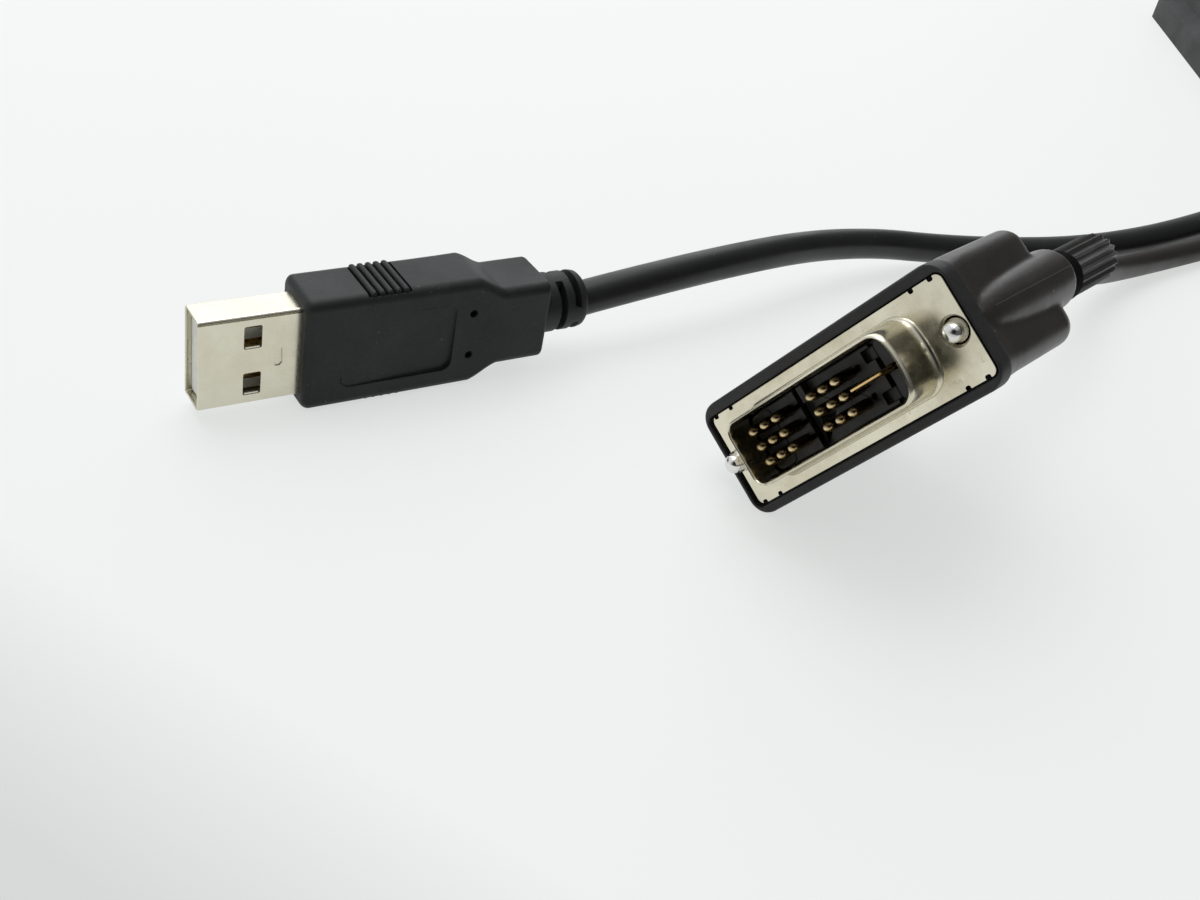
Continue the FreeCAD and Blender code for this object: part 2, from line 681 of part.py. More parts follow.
def make_dvi_overmould():
    """The moulded grip: rim, body with corner lobes and screw barrels, and strain relief."""
    body = new_body("dvi_overmould_body", dvi_seat)
    rim = new_sketch(body, "dvi_rim_outline", "XY_Plane", 0.2)
    draw_rounded(rim, "rim", d.rim_length, d.rim_width, 1.9)
    pad(body, rim, d.rim_depth + 0.2, back=True)
    lobes = new_sketch(body, "dvi_lobes_outline", "XY_Plane", -d.rim_depth)
    draw_rounded(lobes, "lobes", d.rim_length - 0.4, d.rim_width - 0.4, 1.9)
    pad(body, lobes, d.lobe_depth - d.rim_depth, back=True)
    round_edges(
        body,
        "dvi_lobe_ends",
        1.8,
        lambda b: b.ZLength < 1e-4 and abs(b.ZMin + d.lobe_depth.value) < 1e-4,
    )
    valleys = new_sketch(body, "dvi_valleys", "XY_Plane", -d.rim_depth)
    for i, sign_x in enumerate((-1, 1)):
        for j, sign_y in enumerate((-1, 1)):
            place = (sign_x * (d.rim_length / 2 + 0.9), sign_y * 4.15)
            draw_circle(valleys, f"valley{i}{j}", 3.9, *place)
    pocket(body, valleys, d.lobe_depth, back=False)
    core = new_sketch(body, "dvi_core_outline", "XY_Plane", -d.rim_depth)
    draw_rounded(core, "core", d.screw_spacing - 7.7, d.rim_width - 0.6, 2.6)
    pad(body, core, d.dvi_body_depth - d.rim_depth, back=True)
    round_edges(
        body,
        "dvi_core_end",
        2.2,
        lambda b: b.ZLength < 1e-4 and abs(b.ZMin + d.dvi_body_depth.value) < 1e-4,
    )
    barrels = new_sketch(body, "dvi_barrels_outline", "XY_Plane", -d.rim_depth)
    for i, sign in enumerate((-1, 1)):
        draw_circle(barrels, f"barrel{i}", d.barrel_across, sign * d.screw_spacing / 2)
    pad(body, barrels, d.barrel_depth - d.rim_depth, back=True)
    relief = new_sketch(body, "dvi_relief_outline", "XY_Plane", 1 - d.dvi_body_depth)
    draw_circle(relief, "relief", d.dvi_relief_across)
    pad(body, relief, d.dvi_relief_depth - d.dvi_body_depth + 1, back=True)
    face = new_sketch(body, "dvi_mould_face", "XY_Plane", 1)
    draw_rounded(face, "face", d.flange_length, d.flange_width, 1.0)
    pocket(body, face, 1 + d.flange_sheet)
    can = new_sketch(body, "dvi_mould_can", "XY_Plane", 1)
    draw_rounded(can, "can", 29.2, 10.9, 0.8, x=d.shroud_shift)
    pocket(body, can, 1 + d.flange_sheet + 9)
    filling = new_sketch(body, "dvi_mould_filling", "XY_Plane", 0)
    draw_rounded(filling, "filling", 26.0, 10.4, 1.5, x=d.shroud_shift)
    pocket(body, filling, d.flange_sheet + 20)
    bores = new_sketch(body, "dvi_screw_bores", "XY_Plane", 1)
    for i, sign in enumerate((-1, 1)):
        across = d.screw_across + 2 * d.screw_clearance
        draw_circle(bores, f"bore{i}", across, sign * d.screw_spacing / 2)
    pocket(body, bores, d.barrel_depth + 5)
    return node(body, "dvi_overmould")


def make_thumbscrew(side, sign, tip, gap):
    """A jackscrew and its ribbed knob, which turn together in the plug's barrel."""
    x = sign * d.screw_spacing / 2
    knob_front = -(d.barrel_depth + gap)
    body = new_body(f"knob_{side}_body", dvi_seat)
    disc = new_sketch(body, f"knob_{side}_outline", "XY_Plane", knob_front, x)
    draw_circle(disc, "knob", d.knob_across)
    pad(body, disc, d.knob_length, back=True)
    flute = new_sketch(body, f"knob_{side}_flute", "XY_Plane", knob_front, x)
    reach = d.knob_across / 2
    draw_polygon(flute, [(reach - 0.35, 0), (reach + 0.2, -0.36), (reach + 0.2, 0.36)])
    cut_flute = pocket(body, flute, d.knob_length - 0.9)
    ribs = body.newObject("PartDesign::PolarPattern", f"knob_{side}_ribs")
    ribs.Originals = [cut_flute]
    ribs.Axis = (flute, ["N_Axis"])
    ribs.Angle = 360
    bind(ribs, Occurrences=d.knob_ribs)
    body.Tip = ribs
    bore = new_sketch(body, f"knob_{side}_bore", "XY_Plane", knob_front + 1, x)
    draw_circle(bore, "bore", d.screw_across)
    pocket(body, bore, 9)
    node(body, f"dvi_knob_{side}")
    screw_end = knob_front - 8
    shank_length = tip - screw_end - 0.8
    shank = rod(f"screw_{side}_shank", d.screw_across, shank_length, (x, 0, screw_end))
    point = taper(f"screw_{side}_point", d.screw_across, 1.2, 0.8, (x, 0, tip - 0.8))
    screw = joined(f"screw_{side}_whole", [shank, point], dvi_seat)
    node(screw, f"dvi_jackscrew_{side}")


# ---------------------------------------------------------------- module
half_length, half_width = d.module_length / 2, d.module_width / 2
board_top = d.board_level + d.board_thickness
jack_end = d.jack_depth - half_length
lid_height = d.module_height - d.base_height
SCREW_X = (-14.0, 28.0)
SCREW_Y = 10.4


def boot_places():
    yield "usb", -d.boot_spacing / 2, d.usb_lead_across
    yield "dvi", d.boot_spacing / 2, d.dvi_lead_across


def boot_holes(name):
    """The two round holes that the boots pass through the end wall by."""
    return [
        rod(f"{name}_{lead}", 7.4, 10, (half_length - 5, y, d.boot_level), "x")
        for lead, y, _ in boot_places()
    ]


def make_base():
    """The tray: floor, walls, board posts and the jack's rest."""
    tray = box(
        "tray", (d.module_length, d.module_width, d.base_height), (0, 0, d.base_height / 2)
    )
    tray = rounded("tray_corners", tray, d.corner_round, runs_along("z"))
    hollow_height = d.base_height
    hollow = box(
        "tray_hollow",
        (d.module_length - 2 * d.wall, d.module_width - 2 * d.wall, hollow_height),
        (0, 0, d.wall + hollow_height / 2),
    )
    hollow = rounded("tray_hollow_corners", hollow, 1.0, runs_along("z"))
    shell = cut("tray_shell", tray, [hollow])
    posts = [
        rod(f"post_{i}", 5.0, d.board_level - 1, (x, y, 1))
        for i, (x, y) in enumerate((x, y) for x in SCREW_X for y in (-SCREW_Y, SCREW_Y))
    ]
    rest_height = d.jack_level - 1
    rest = box("jack_rest", (12, 12, rest_height), (7.8 - half_length, 0, 1 + rest_height / 2))
    whole = joined("base_whole", [shell, *posts, rest])
    tools = [
        box(
            "base_mouth",
            (6, d.jack_width, d.jack_height),
            (-half_length, 0, d.jack_level + d.jack_height / 2),
        ),
        *boot_holes("base_boot_hole"),
    ]
    for i, (x, y) in enumerate((x, y) for x in SCREW_X for y in (-SCREW_Y, SCREW_Y)):
        tools.append(rod(f"base_screw_hole_{i}", 2.4, 8, (x, y, -1)))
        tools.append(rod(f"base_screw_head_{i}", 4.2, 1.6, (x, y, -0.5)))
    node(cut("housing_base_cut", whole, tools), "housing_base")


def grip_tool(name, sign):
    """What the grip ledge takes off one side of the lid, with rounded ends."""
    body = new_body(name)
    profile = new_sketch(body, name + "_profile", "YZ_Plane")
    edge = sign * half_width
    inner = sign * (half_width - d.grip_depth)
    draw_polygon(
        profile,
        [
            (edge, d.base_height),
            (inner, d.base_height + d.grip_rise),
            (inner, d.module_height + 2),
            (edge + sign * 2, d.module_height + 2),
            (edge + sign * 2, d.base_height),
        ],
    )
    pad(body, profile, d.grip_length, both_ways=True)
    return body


def make_lid():
    """The cover: stepped in along both sides, with a rounded top and four screw columns."""
    shell = box(
        "lid_block",
        (d.module_length, d.module_width, lid_height),
        (0, 0, d.base_height + lid_height / 2),
    )
    shell = rounded("lid_corners", shell, d.corner_round, runs_along("z"))
    shell = cut("lid_stepped", shell, [grip_tool("grip_low", -1), grip_tool("grip_high", 1)])
    top = d.module_height.value
    shell = rounded(
        "lid_top_round",
        shell,
        1.2,
        lambda b: b.ZLength < 1e-4 and abs(b.ZMin - top) < 1e-4,
    )
    hollow_height = lid_height - d.wall
    hollow_level = d.base_height + hollow_height / 2
    narrow = d.module_width - 2 * d.grip_depth - 2 * d.wall
    hollow = box(
        "lid_hollow",
        (d.module_length - 2 * d.wall, narrow, hollow_height),
        (0, 0, hollow_level),
    )
    cover = cut("lid_shell", shell, [hollow])
    columns = []
    for i, (x, y) in enumerate((x, y) for x in SCREW_X for y in (-SCREW_Y, SCREW_Y)):
        length = d.module_height - 1 - board_top
        columns.append(rod(f"column_{i}", 5.0, length, (x, y, board_top)))
    whole = joined("lid_whole", [cover, *columns])
    tools = [
        box(
            "lid_mouth",
            (8, d.jack_width, d.jack_height),
            (-half_length, 0, d.jack_level + d.jack_height / 2),
        ),
        rod("light_hole", 2.6, 6, (24, 0, d.module_height - 4)),
        *boot_holes("lid_boot_hole"),
    ]
    for i, (x, y) in enumerate((x, y) for x in SCREW_X for y in (-SCREW_Y, SCREW_Y)):
        tools.append(rod(f"lid_screw_hole_{i}", 2.2, 6.6, (x, y, board_top - 1)))
    node(cut("housing_lid_cut", whole, tools), "housing_lid")


def make_board():
    """The circuit board, cut out round the network jack and drilled for the screws."""
    board_length = d.module_length - 2 * d.wall - 5.2
    middle = board_top - d.board_thickness / 2
    slab = box("board_slab", (board_length, 29.4, d.board_thickness), (0.4, 0, middle))
    slab = rounded("board_corners", slab, 1.0, runs_along("z"))
    tools = [
        box(
            "board_notch",
            (d.jack_depth * 2, d.jack_width + 0.4, 4),
            (-half_length, 0, middle),
        )
    ]
    for i, (x, y) in enumerate((x, y) for x in SCREW_X for y in (-SCREW_Y, SCREW_Y)):
        tools.append(rod(f"board_hole_{i}", 2.4, 6, (x, y, middle - 3)))
    node(cut("circuit_board_cut", slab, tools), "circuit_board")
    parts = {
        "control_chip": ((12, 12, 1.4), (-6, 0)),
        "video_chip": ((9, 9, 1.2), (9, 5)),
        "usb_header": ((5, 8, 5.2), (20, -7)),
        "video_header": ((5, 10, 5.2), (20, 6.6)),
    }
    for name, (sizes, (x, y)) in parts.items():
        middle = (x, y, board_top + sizes[2] / 2)
        node(box(name + "_block", sizes, middle), name)


def make_jack():
    """The network jack: a moulded socket, its metal shield and eight sprung contacts."""
    level = d.jack_level + d.jack_height / 2
    middle_x = d.jack_depth / 2 - half_length
    sheet = 0.3
    outer = box("shield_block", (d.jack_depth, d.jack_width, d.jack_height), (middle_x, 0, level))
    inner = box(
        "shield_bore",
        (d.jack_depth, d.jack_width - 2 * sheet, d.jack_height - 2 * sheet),
        (middle_x + sheet, 0, level),
    )
    bore_low = d.jack_level + 1.3
    bore_middle = bore_low + d.jack_bore_height / 2
    bore_x = d.jack_bore_depth / 2 - half_length
    mouth_sizes = (d.jack_bore_depth + 2, d.jack_bore_width, d.jack_bore_height)
    mouth = box("shield_mouth", mouth_sizes, (bore_x - 1, 0, bore_middle))
    latch_sizes = (d.jack_bore_depth + 2, 6.2, 1.8)
    latch = box("shield_latch", latch_sizes, (bore_x - 1, 0, bore_low - 0.4))
    bay = box("shield_bay", (d.jack_bore_depth + 2, 9.2, 1.9), (bore_x - 1, 0, bore_low + 7.8))
    node(cut("jack_shield_cut", outer, [inner, mouth, latch, bay]), "jack_shield")
    body = box(
        "socket_block",
        (d.jack_depth - 2 * sheet, d.jack_width - 2 * sheet, d.jack_height - 2 * sheet),
        (middle_x, 0, level),
    )
    tools = [
        box("socket_mouth", mouth_sizes, (bore_x - 1, 0, bore_middle)),
        box("socket_latch", latch_sizes, (bore_x - 1, 0, bore_low - 0.4)),
        box("socket_bay", (d.jack_bore_depth + 2, 9.2, 1.9), (bore_x - 1, 0, bore_low + 7.8)),
    ]
    start = d.jack_bore_depth - half_length
    reach = size(9.5)
    for i in range(8):
        y = (i - 3.5) * d.contact_pitch
        wire = rod(f"contact_{i + 1}_wire", 0.45, reach + 2, (start - reach, y, bore_low + 8.0), "x")
        tools.append(
            rod(f"contact_{i + 1}_seat", 0.45, reach + 2, (start - reach, y, bore_low + 8.0), "x")
        )
        node(wire, f"jack_contact_{i + 1}")
    node(cut("jack_body_cut", body, tools), "jack_body")


def make_light_pipe():
    """The clear plug in the lid that shows the status light."""
    stem = rod("light_stem", 2.6, 1.9, (24, 0, d.module_height - 1.8))
    collar = rod("light_collar", 3.8, 0.9, (24, 0, d.module_height - 2.7))
    node(joined("status_light_pipe_whole", [stem, collar]), "status_light_pipe")


def make_boots():
    """The tapered boots that the leads leave the module by, each with a retaining groove."""
    for lead, y, across in boot_places():
        inside = half_length - d.wall
        flange = rod(f"{lead}_boot_flange", 9.2, 1.6, (inside - 1.6, y, d.boot_level), "x")
        waist = rod(f"{lead}_boot_waist", 7.4, d.wall, (inside, y, d.boot_level), "x")
        collar = rod(f"{lead}_boot_collar", 9.0, 1.5, (half_length, y, d.boot_level), "x")
        cone = taper(
            f"{lead}_boot_cone",
            8.2,
            across + 1.4,
            d.boot_length - 1.5,
            (half_length + 1.5, y, d.boot_level),
            "x",
        )
        node(joined(f"{lead}_boot_whole", [flange, waist, collar, cone]), f"{lead}_boot")


def make_housing_screws():
    """Four screws that hold base, board and lid together."""
    screws = []
    for i, (x, y) in enumerate((x, y) for x in SCREW_X for y in (-SCREW_Y, SCREW_Y)):
        screws.append(rod(f"screw_{i}_head", 4.0, 1.0, (x, y, 0.1)))
        screws.append(rod(f"screw_{i}_shank", 2.2, 9.8, (x, y, 1.0)))
    node(joined("housing_screws_whole", screws), "housing_screws")


# ---------------------------------------------------------------- leads
def in_world(seat_object, point):
    return seat_object.Placement.multVec(Vector(*point))


def tube_along(name, points, across):
    """A round lead: straight runs joined by tangent arcs. Prints its bends and length."""
    points = [Vector(*p) for p in points]
    here = points[0]
    edges, radii = [], []
    length = 0.0
    for before, corner, after in zip(points, points[1:], points[2:]):
        back, on = before - corner, after - corner
        turn = math.pi - back.getAngle(on)
        shorter = min(back.Length, on.Length)
        cut_back = 0.45 * shorter
        radius = cut_back / math.tan(turn / 2)
        back.normalize()
        on.normalize()
        start, end = corner + back * cut_back, corner + on * cut_back
        inward = back + on
        inward.normalize()
        middle = corner + inward * (radius / math.cos(turn / 2) - radius)
        edges.append(Part.LineSegment(here, start).toShape())
        edges.append(Part.Arc(start, middle, end).toShape())
        length += (start - here).Length + radius * turn
        radii.append(radius)
        here = end
    edges.append(Part.LineSegment(here, points[-1]).toShape())
    length += (points[-1] - here).Length
    ring = Part.Circle(points[0], points[1] - points[0], across / 2).toShape()
    solid = Part.Wire(edges).makePipe(Part.Face(Part.Wire(ring)))
    expected = math.pi * (across / 2) ** 2 * length
    if abs(solid.Volume / expected - 1) > 0.01:
        raise ValueError(f"{name} has volume {solid.Volume:.0f}, not {expected:.0f}")
    bends = ", ".join(f"{r:.1f}" for r in radii)
    low = solid.optimalBoundingBox().ZMin
    print(f"{name}: length {length:.1f}, bend radii {bends}, lowest {low:.2f}")
    item = doc.addObject("Part::Feature", name + "_tube")
    item.Shape = solid
    return node(item, name)


def make_leads():
    doc.recompute()
    for lead, y, across in boot_places():
        if lead == "usb":
            exit_point = in_world(usb_seat, (usb_exit.value, 0, 0))
            bends = USB_BENDS
        else:
            exit_point = in_world(dvi_seat, (0, 0, -d.dvi_relief_depth.value))
            bends = DVI_BENDS
        entry = ((half_length + d.boot_length).value, y.value, d.boot_level.value)
        tube_along(f"{lead}_lead", [tuple(exit_point), *bends, entry], across.value)


make_base()
make_lid()
make_board()
make_jack()
make_light_pipe()
make_boots()
make_housing_screws()
make_usb_shell()
make_usb_inside()
make_usb_overmould()
make_dvi_front_shell()
make_dvi_rear_shell()
make_dvi_inside()
make_dvi_inner_mould()
make_dvi_overmould()
for screw_side, (screw_sign, screw_tip, screw_gap) in SCREWS.items():
    make_thumbscrew(screw_side, screw_sign, size(screw_tip), size(screw_gap))
make_leads()

doc.recompute()
broken = [o.Name for o in doc.Objects if {"Invalid", "Error"} & set(o.State)]
broken += [n for n, o in nodes.items() if o.Shape.isNull() or not o.Shape.isValid()]
if broken:
    raise ValueError("failed: " + ", ".join(broken))

os.makedirs("parts", exist_ok=True)
for label, item in nodes.items():
    item.Shape.exportStep(f"parts/{label}.step")
lows = {label: item.Shape.optimalBoundingBox().ZMin for label, item in nodes.items()}
lowest = min(lows, key=lows.get)
print(f"{len(nodes)} sub-parts, lowest {lowest} at {lows[lowest]:.3f}")
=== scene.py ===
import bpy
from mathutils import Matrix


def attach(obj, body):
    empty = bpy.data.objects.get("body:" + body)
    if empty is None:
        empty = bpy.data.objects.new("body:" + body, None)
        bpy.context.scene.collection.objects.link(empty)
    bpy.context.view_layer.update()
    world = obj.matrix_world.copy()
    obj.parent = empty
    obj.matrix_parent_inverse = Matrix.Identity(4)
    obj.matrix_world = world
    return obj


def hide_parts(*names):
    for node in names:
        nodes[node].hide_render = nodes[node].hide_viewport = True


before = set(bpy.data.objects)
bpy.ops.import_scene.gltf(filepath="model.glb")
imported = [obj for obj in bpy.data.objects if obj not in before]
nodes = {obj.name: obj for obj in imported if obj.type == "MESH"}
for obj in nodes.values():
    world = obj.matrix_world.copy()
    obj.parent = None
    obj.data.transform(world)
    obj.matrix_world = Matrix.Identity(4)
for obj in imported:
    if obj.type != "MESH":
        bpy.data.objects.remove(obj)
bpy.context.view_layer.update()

import math

import bmesh
import bpy
from mathutils import Euler, Matrix, Vector

# The dongle's looks. Everything is drawn in millimetres in the frame of the plug it belongs to and is
# then carried to its place: the USB plug's frame runs +X from the open end to the lead, and the DVI
# plug's frame has +Z out of its face and +X along it.
MM = 0.001
ROOT = "dongle"
scene = bpy.context.scene
scene.view_settings.view_transform = "Standard"


def seat(place, yaw=0.0, pitch=0.0, roll=0.0):
    """The matrix from a plug's own millimetres to the scene's metres."""
    turn = (
        Matrix.Rotation(math.radians(yaw), 4, "Z")
        @ Matrix.Rotation(math.radians(pitch), 4, "Y")
        @ Matrix.Rotation(math.radians(roll), 4, "X")
    )
    return Matrix.Translation(Vector(place) * MM) @ turn @ Matrix.Scale(MM, 4)


MODULE = Matrix.Scale(MM, 4)
USB = seat((219.8, -197.9, 7.5), 125.5)
DVI = seat((221.5, -125.3, 19.09), 55.2, -55.7, 86.4)


# ------------------------------------------------------------------------------------ camera
def make_camera(place, turn, lens):
    camera = bpy.data.objects.new("camera", bpy.data.cameras.new("camera"))
    camera.data.sensor_width = 36.0
    camera.data.lens = lens
    camera.data.clip_start = 0.005
    camera.data.clip_end = 20.0
    camera.location = place
    camera.rotation_euler = Euler([math.radians(a) for a in turn], "XYZ")
    scene.collection.objects.link(camera)
    scene.camera = camera


make_camera((0.35344, -0.15637, 0.09945), (54.274, -9.807, 94.287), 42.25)


# ------------------------------------------------------------------------------------ materials
class Nodes:
    """A node material, built by short calls. Noise and cells take their scale per metre."""

    def __init__(self, name):
        self.material = bpy.data.materials.new(name)
        self.material.use_nodes = True
        self.tree = self.material.node_tree
        self.tree.nodes.clear()
        self.out = self.tree.nodes.new("ShaderNodeOutputMaterial")
        self.shader = self.tree.nodes.new("ShaderNodeBsdfPrincipled")
        self.link(self.shader.outputs[0], self.out.inputs[0])
        self.place = self.tree.nodes.new("ShaderNodeTexCoord").outputs["Object"]

    def link(self, source, target):
        self.tree.links.new(source, target)

    def plug(self, value, socket):
        """Links another node's output to the socket, or sets the socket to a number or a colour."""
        if isinstance(value, (int, float)):
            socket.default_value = value
        elif isinstance(value, tuple):
            socket.default_value = (*value, 1.0)
        else:
            self.link(value, socket)

    def set(self, **values):
        for name, value in values.items():
            self.shader.inputs[name.replace("_", " ")].default_value = value

    def drive(self, **outputs):
        for name, output in outputs.items():
            self.link(output, self.shader.inputs[name.replace("_", " ")])

    def noise(self, scale, detail=4.0, rough=0.55):
        node = self.tree.nodes.new("ShaderNodeTexNoise")
        node.inputs["Scale"].default_value = scale
        node.inputs["Detail"].default_value = detail
        node.inputs["Roughness"].default_value = rough
        self.link(self.place, node.inputs["Vector"])
        return node.outputs[0]

    def cells(self, scale):
        node = self.tree.nodes.new("ShaderNodeTexVoronoi")
        node.inputs["Scale"].default_value = scale
        self.link(self.place, node.inputs["Vector"])
        return node.outputs["Distance"]

    def geometry(self, output, axis):
        """One world coordinate of the surface's Normal or Position."""
        split = self.tree.nodes.new("ShaderNodeSeparateXYZ")
        self.link(self.tree.nodes.new("ShaderNodeNewGeometry").outputs[output], split.inputs[0])
        return split.outputs[axis]

    def band(self, value, low, high, to_low=0.0, to_high=1.0):
        """Carries the span low to high over to the span to_low to to_high, and stops at its ends."""
        node = self.tree.nodes.new("ShaderNodeMapRange")
        for name, end in (("From Min", low), ("From Max", high), ("To Min", to_low), ("To Max", to_high)):
            node.inputs[name].default_value = end
        self.link(value, node.inputs["Value"])
        return node.outputs[0]

    def math(self, kind, a, b):
        node = self.tree.nodes.new("ShaderNodeMath")
        node.operation = kind
        self.plug(a, node.inputs[0])
        self.plug(b, node.inputs[1])
        return node.outputs[0]

    def mix(self, amount, a, b, kind="MIX"):
        node = self.tree.nodes.new("ShaderNodeMix")
        node.data_type = "RGBA"
        node.blend_type = kind
        self.plug(amount, node.inputs[0])
        self.plug(a, node.inputs[6])
        self.plug(b, node.inputs[7])
        return node.outputs[2]

    def specks(self, colour, scale, reach, patch_scale, patch, amount, paint):
        """Small specks of another colour, gathered in patches."""
        grains = self.band(self.cells(scale), 0.0, reach, 1.0, 0.0)
        here = self.band(self.noise(patch_scale, 2, 0.5), *patch)
        return self.mix(self.math("MULTIPLY", self.math("MULTIPLY", grains, here), amount), colour, paint)

    def bump(self, height, distance, strength=1.0, normal=None):
        node = self.tree.nodes.new("ShaderNodeBump")
        node.inputs["Distance"].default_value = distance
        node.inputs["Strength"].default_value = strength
        self.link(height, node.inputs["Height"])
        if normal:
            self.link(normal, node.inputs["Normal"])
        return node.outputs[0]


DUST = (0.42, 0.42, 0.40)
BROWN_SPOT = (0.20, 0.13, 0.06)
FINE, MIDDLE, COARSE, ROUGH_CAST = 0.00002, 0.00003, 0.00004, 0.00006


def black_vinyl(name, base, worn, dust, rough, grain, shine, specks):
    """Soft moulded plastic: fine grain, uneven sheen, paler worn places and white specks of dust."""
    m = Nodes(name)
    m.set(Specular_IOR_Level=shine)
    wear = m.band(m.noise(260, 6, 0.7), 0.5, 0.75)
    colour = m.mix(m.math("MULTIPLY", wear, dust), base, worn)
    # In this plastic the mask is a fine film of dust only.
    dust_film_and_painted_top_shade = m.band(m.noise(2600, 2, 0.5), 0.45, 0.8)
    colour = m.mix(m.math("MULTIPLY", dust_film_and_painted_top_shade, dust * 0.6), colour, worn)
    for scale, reach, amount in ((520.0, 0.085, specks), (1150.0, 0.1, specks * 0.5)):
        colour = m.specks(colour, scale, reach, scale * 0.35, (0.52, 0.58), amount, DUST)
    skin = m.bump(m.noise(1500, 3, 0.6), grain, 0.7)
    m.drive(
        Base_Color=colour,
        Roughness=m.band(m.noise(90, 5, 0.6), 0.3, 0.7, rough - 0.07, rough + 0.1),
        Normal=m.bump(m.noise(420, 3, 0.5), grain * 1.6, 0.35, skin),
    )
    return m.material


def plated(name, base, tarnish, rough, amount, brown=0.0, dust_film_and_painted_top_shade=None):
    """Metal plate with cloudy tarnish, brown spots, and, where asked, painted shade darkening the sides that face
    upwards.
    """
    m = Nodes(name)
    m.set(Metallic=1.0)
    clouds = m.band(m.noise(170, 5, 0.62), 0.42, 0.7)
    colour = m.mix(m.math("MULTIPLY", clouds, amount), base, tarnish)
    if brown:
        spots = m.band(m.noise(520, 4, 0.6), 0.66, 0.74)
        colour = m.mix(m.math("MULTIPLY", spots, brown), colour, BROWN_SPOT)
    # Painted shade: sides whose normal faces upwards are mixed towards a dark colour, standing in for the dark
    # reflection they show.
    if dust_film_and_painted_top_shade:
        colour = m.mix(m.band(m.geometry("Normal", "Z"), -0.1, 0.45), colour, dust_film_and_painted_top_shade)
    m.drive(
        Base_Color=colour,
        Roughness=m.band(m.noise(380, 4, 0.6), 0.3, 0.75, rough - 0.05, rough + 0.12),
        Normal=m.bump(m.noise(1300, 3, 0.6), 0.00001, 0.25),
    )
    return m.material


def moulded(name, base, other, rough=0.4, shine=0.5):
    """Hard moulded plastic with a slight unevenness."""
    m = Nodes(name)
    m.set(Specular_IOR_Level=shine)
    m.drive(
        Base_Color=m.mix(m.band(m.noise(300, 4, 0.6), 0.35, 0.7), base, other),
        Roughness=m.band(m.noise(600, 3, 0.5), 0.3, 0.7, rough - 0.05, rough + 0.07),
        Normal=m.bump(m.noise(1800, 3, 0.5), 0.00001, 0.4),
    )
    return m.material


USB_BLACK = black_vinyl(
    "usb_black", (0.014, 0.0152, 0.0152), (0.035, 0.036, 0.035),
    dust=0.4, rough=0.5, grain=COARSE, shine=0.3, specks=0.6,
)
DVI_BLACK = black_vinyl(
    "dvi_black", (0.020, 0.0165, 0.0135), (0.05, 0.043, 0.036),
    dust=0.4, rough=0.32, grain=FINE, shine=0.65, specks=0.5,
)
RIM_BLACK = black_vinyl(
    "rim_black", (0.020, 0.020, 0.020), (0.04, 0.038, 0.036),
    dust=0.4, rough=0.45, grain=MIDDLE, shine=0.3, specks=0.4,
)
LEAD_BLACK = black_vinyl(
    "lead_black", (0.0125, 0.013, 0.0125), (0.026, 0.026, 0.026),
    dust=0.3, rough=0.36, grain=FINE, shine=0.35, specks=0.3,
)
LEAD_BROWN = black_vinyl(
    "lead_brown", (0.021, 0.018, 0.0155), (0.038, 0.033, 0.03),
    dust=0.3, rough=0.4, grain=FINE, shine=0.35, specks=0.3,
)
CASE_BLACK = black_vinyl(
    "case_black", (0.010, 0.0105, 0.011), (0.03, 0.03, 0.03),
    dust=0.3, rough=0.5, grain=ROUGH_CAST, shine=0.3, specks=0.4,
)
KNOB_BLACK = black_vinyl(
    "knob_black", (0.021, 0.0195, 0.018), (0.06, 0.055, 0.05),
    dust=0.5, rough=0.36, grain=FINE, shine=0.45, specks=0.5,
)
NICKEL = plated("nickel", (0.71, 0.68, 0.56), (0.62, 0.57, 0.44), rough=0.25, amount=0.6)
NICKEL_DVI = plated("nickel_dvi", (0.75, 0.71, 0.57), (0.46, 0.40, 0.27), rough=0.23, amount=0.6, brown=0.4)
NICKEL_SHROUD = plated("nickel_shroud", (0.70, 0.66, 0.53), (0.58, 0.53, 0.39), rough=0.2, amount=0.5)
STEEL = plated("steel", (0.80, 0.79, 0.77), (0.5, 0.48, 0.43), rough=0.16, amount=0.3)
GOLD = plated("gold", (0.72, 0.50, 0.22), (0.40, 0.25, 0.09), rough=0.22, amount=0.5)
# The pins carry painted shade: their upward-facing sides are mixed towards dark brown.
PIN_GOLD = plated(
    "pin_gold", (0.74, 0.60, 0.36), (0.5, 0.38, 0.18),
    rough=0.24, amount=0.5, brown=0.3, dust_film_and_painted_top_shade=(0.07, 0.05, 0.025),
)
WHITE = moulded("white_insulator", (0.86, 0.86, 0.80), (0.80, 0.80, 0.74))
BLACK_HARD = moulded("black_insulator", (0.010, 0.0095, 0.009), (0.018, 0.016, 0.013), rough=0.34, shine=0.35)
# Near-black for painted shade, used on the ring in each thumbscrew's gap.
GAP_SHADE_BLACK = moulded("painted_gap_shade", (0.003, 0.003, 0.003), (0.005, 0.005, 0.005), rough=0.8, shine=0.05)
BOARD = moulded("board", (0.02, 0.16, 0.07), (0.03, 0.2, 0.09), rough=0.35)
CREAM = moulded("header_cream", (0.7, 0.66, 0.55), (0.66, 0.62, 0.5), rough=0.45)
GREY = moulded("filling_grey", (0.12, 0.12, 0.12), (0.16, 0.16, 0.155), rough=0.5)
CLEAR = moulded("light_clear", (0.62, 0.68, 0.62), (0.56, 0.62, 0.57), rough=0.2)


# ------------------------------------------------------------------------------------ mesh helpers
def share(value, start, span):
    """How far the value has come along the span, from 0 to 1."""
    return min(max((value - start) / span, 0.0), 1.0)


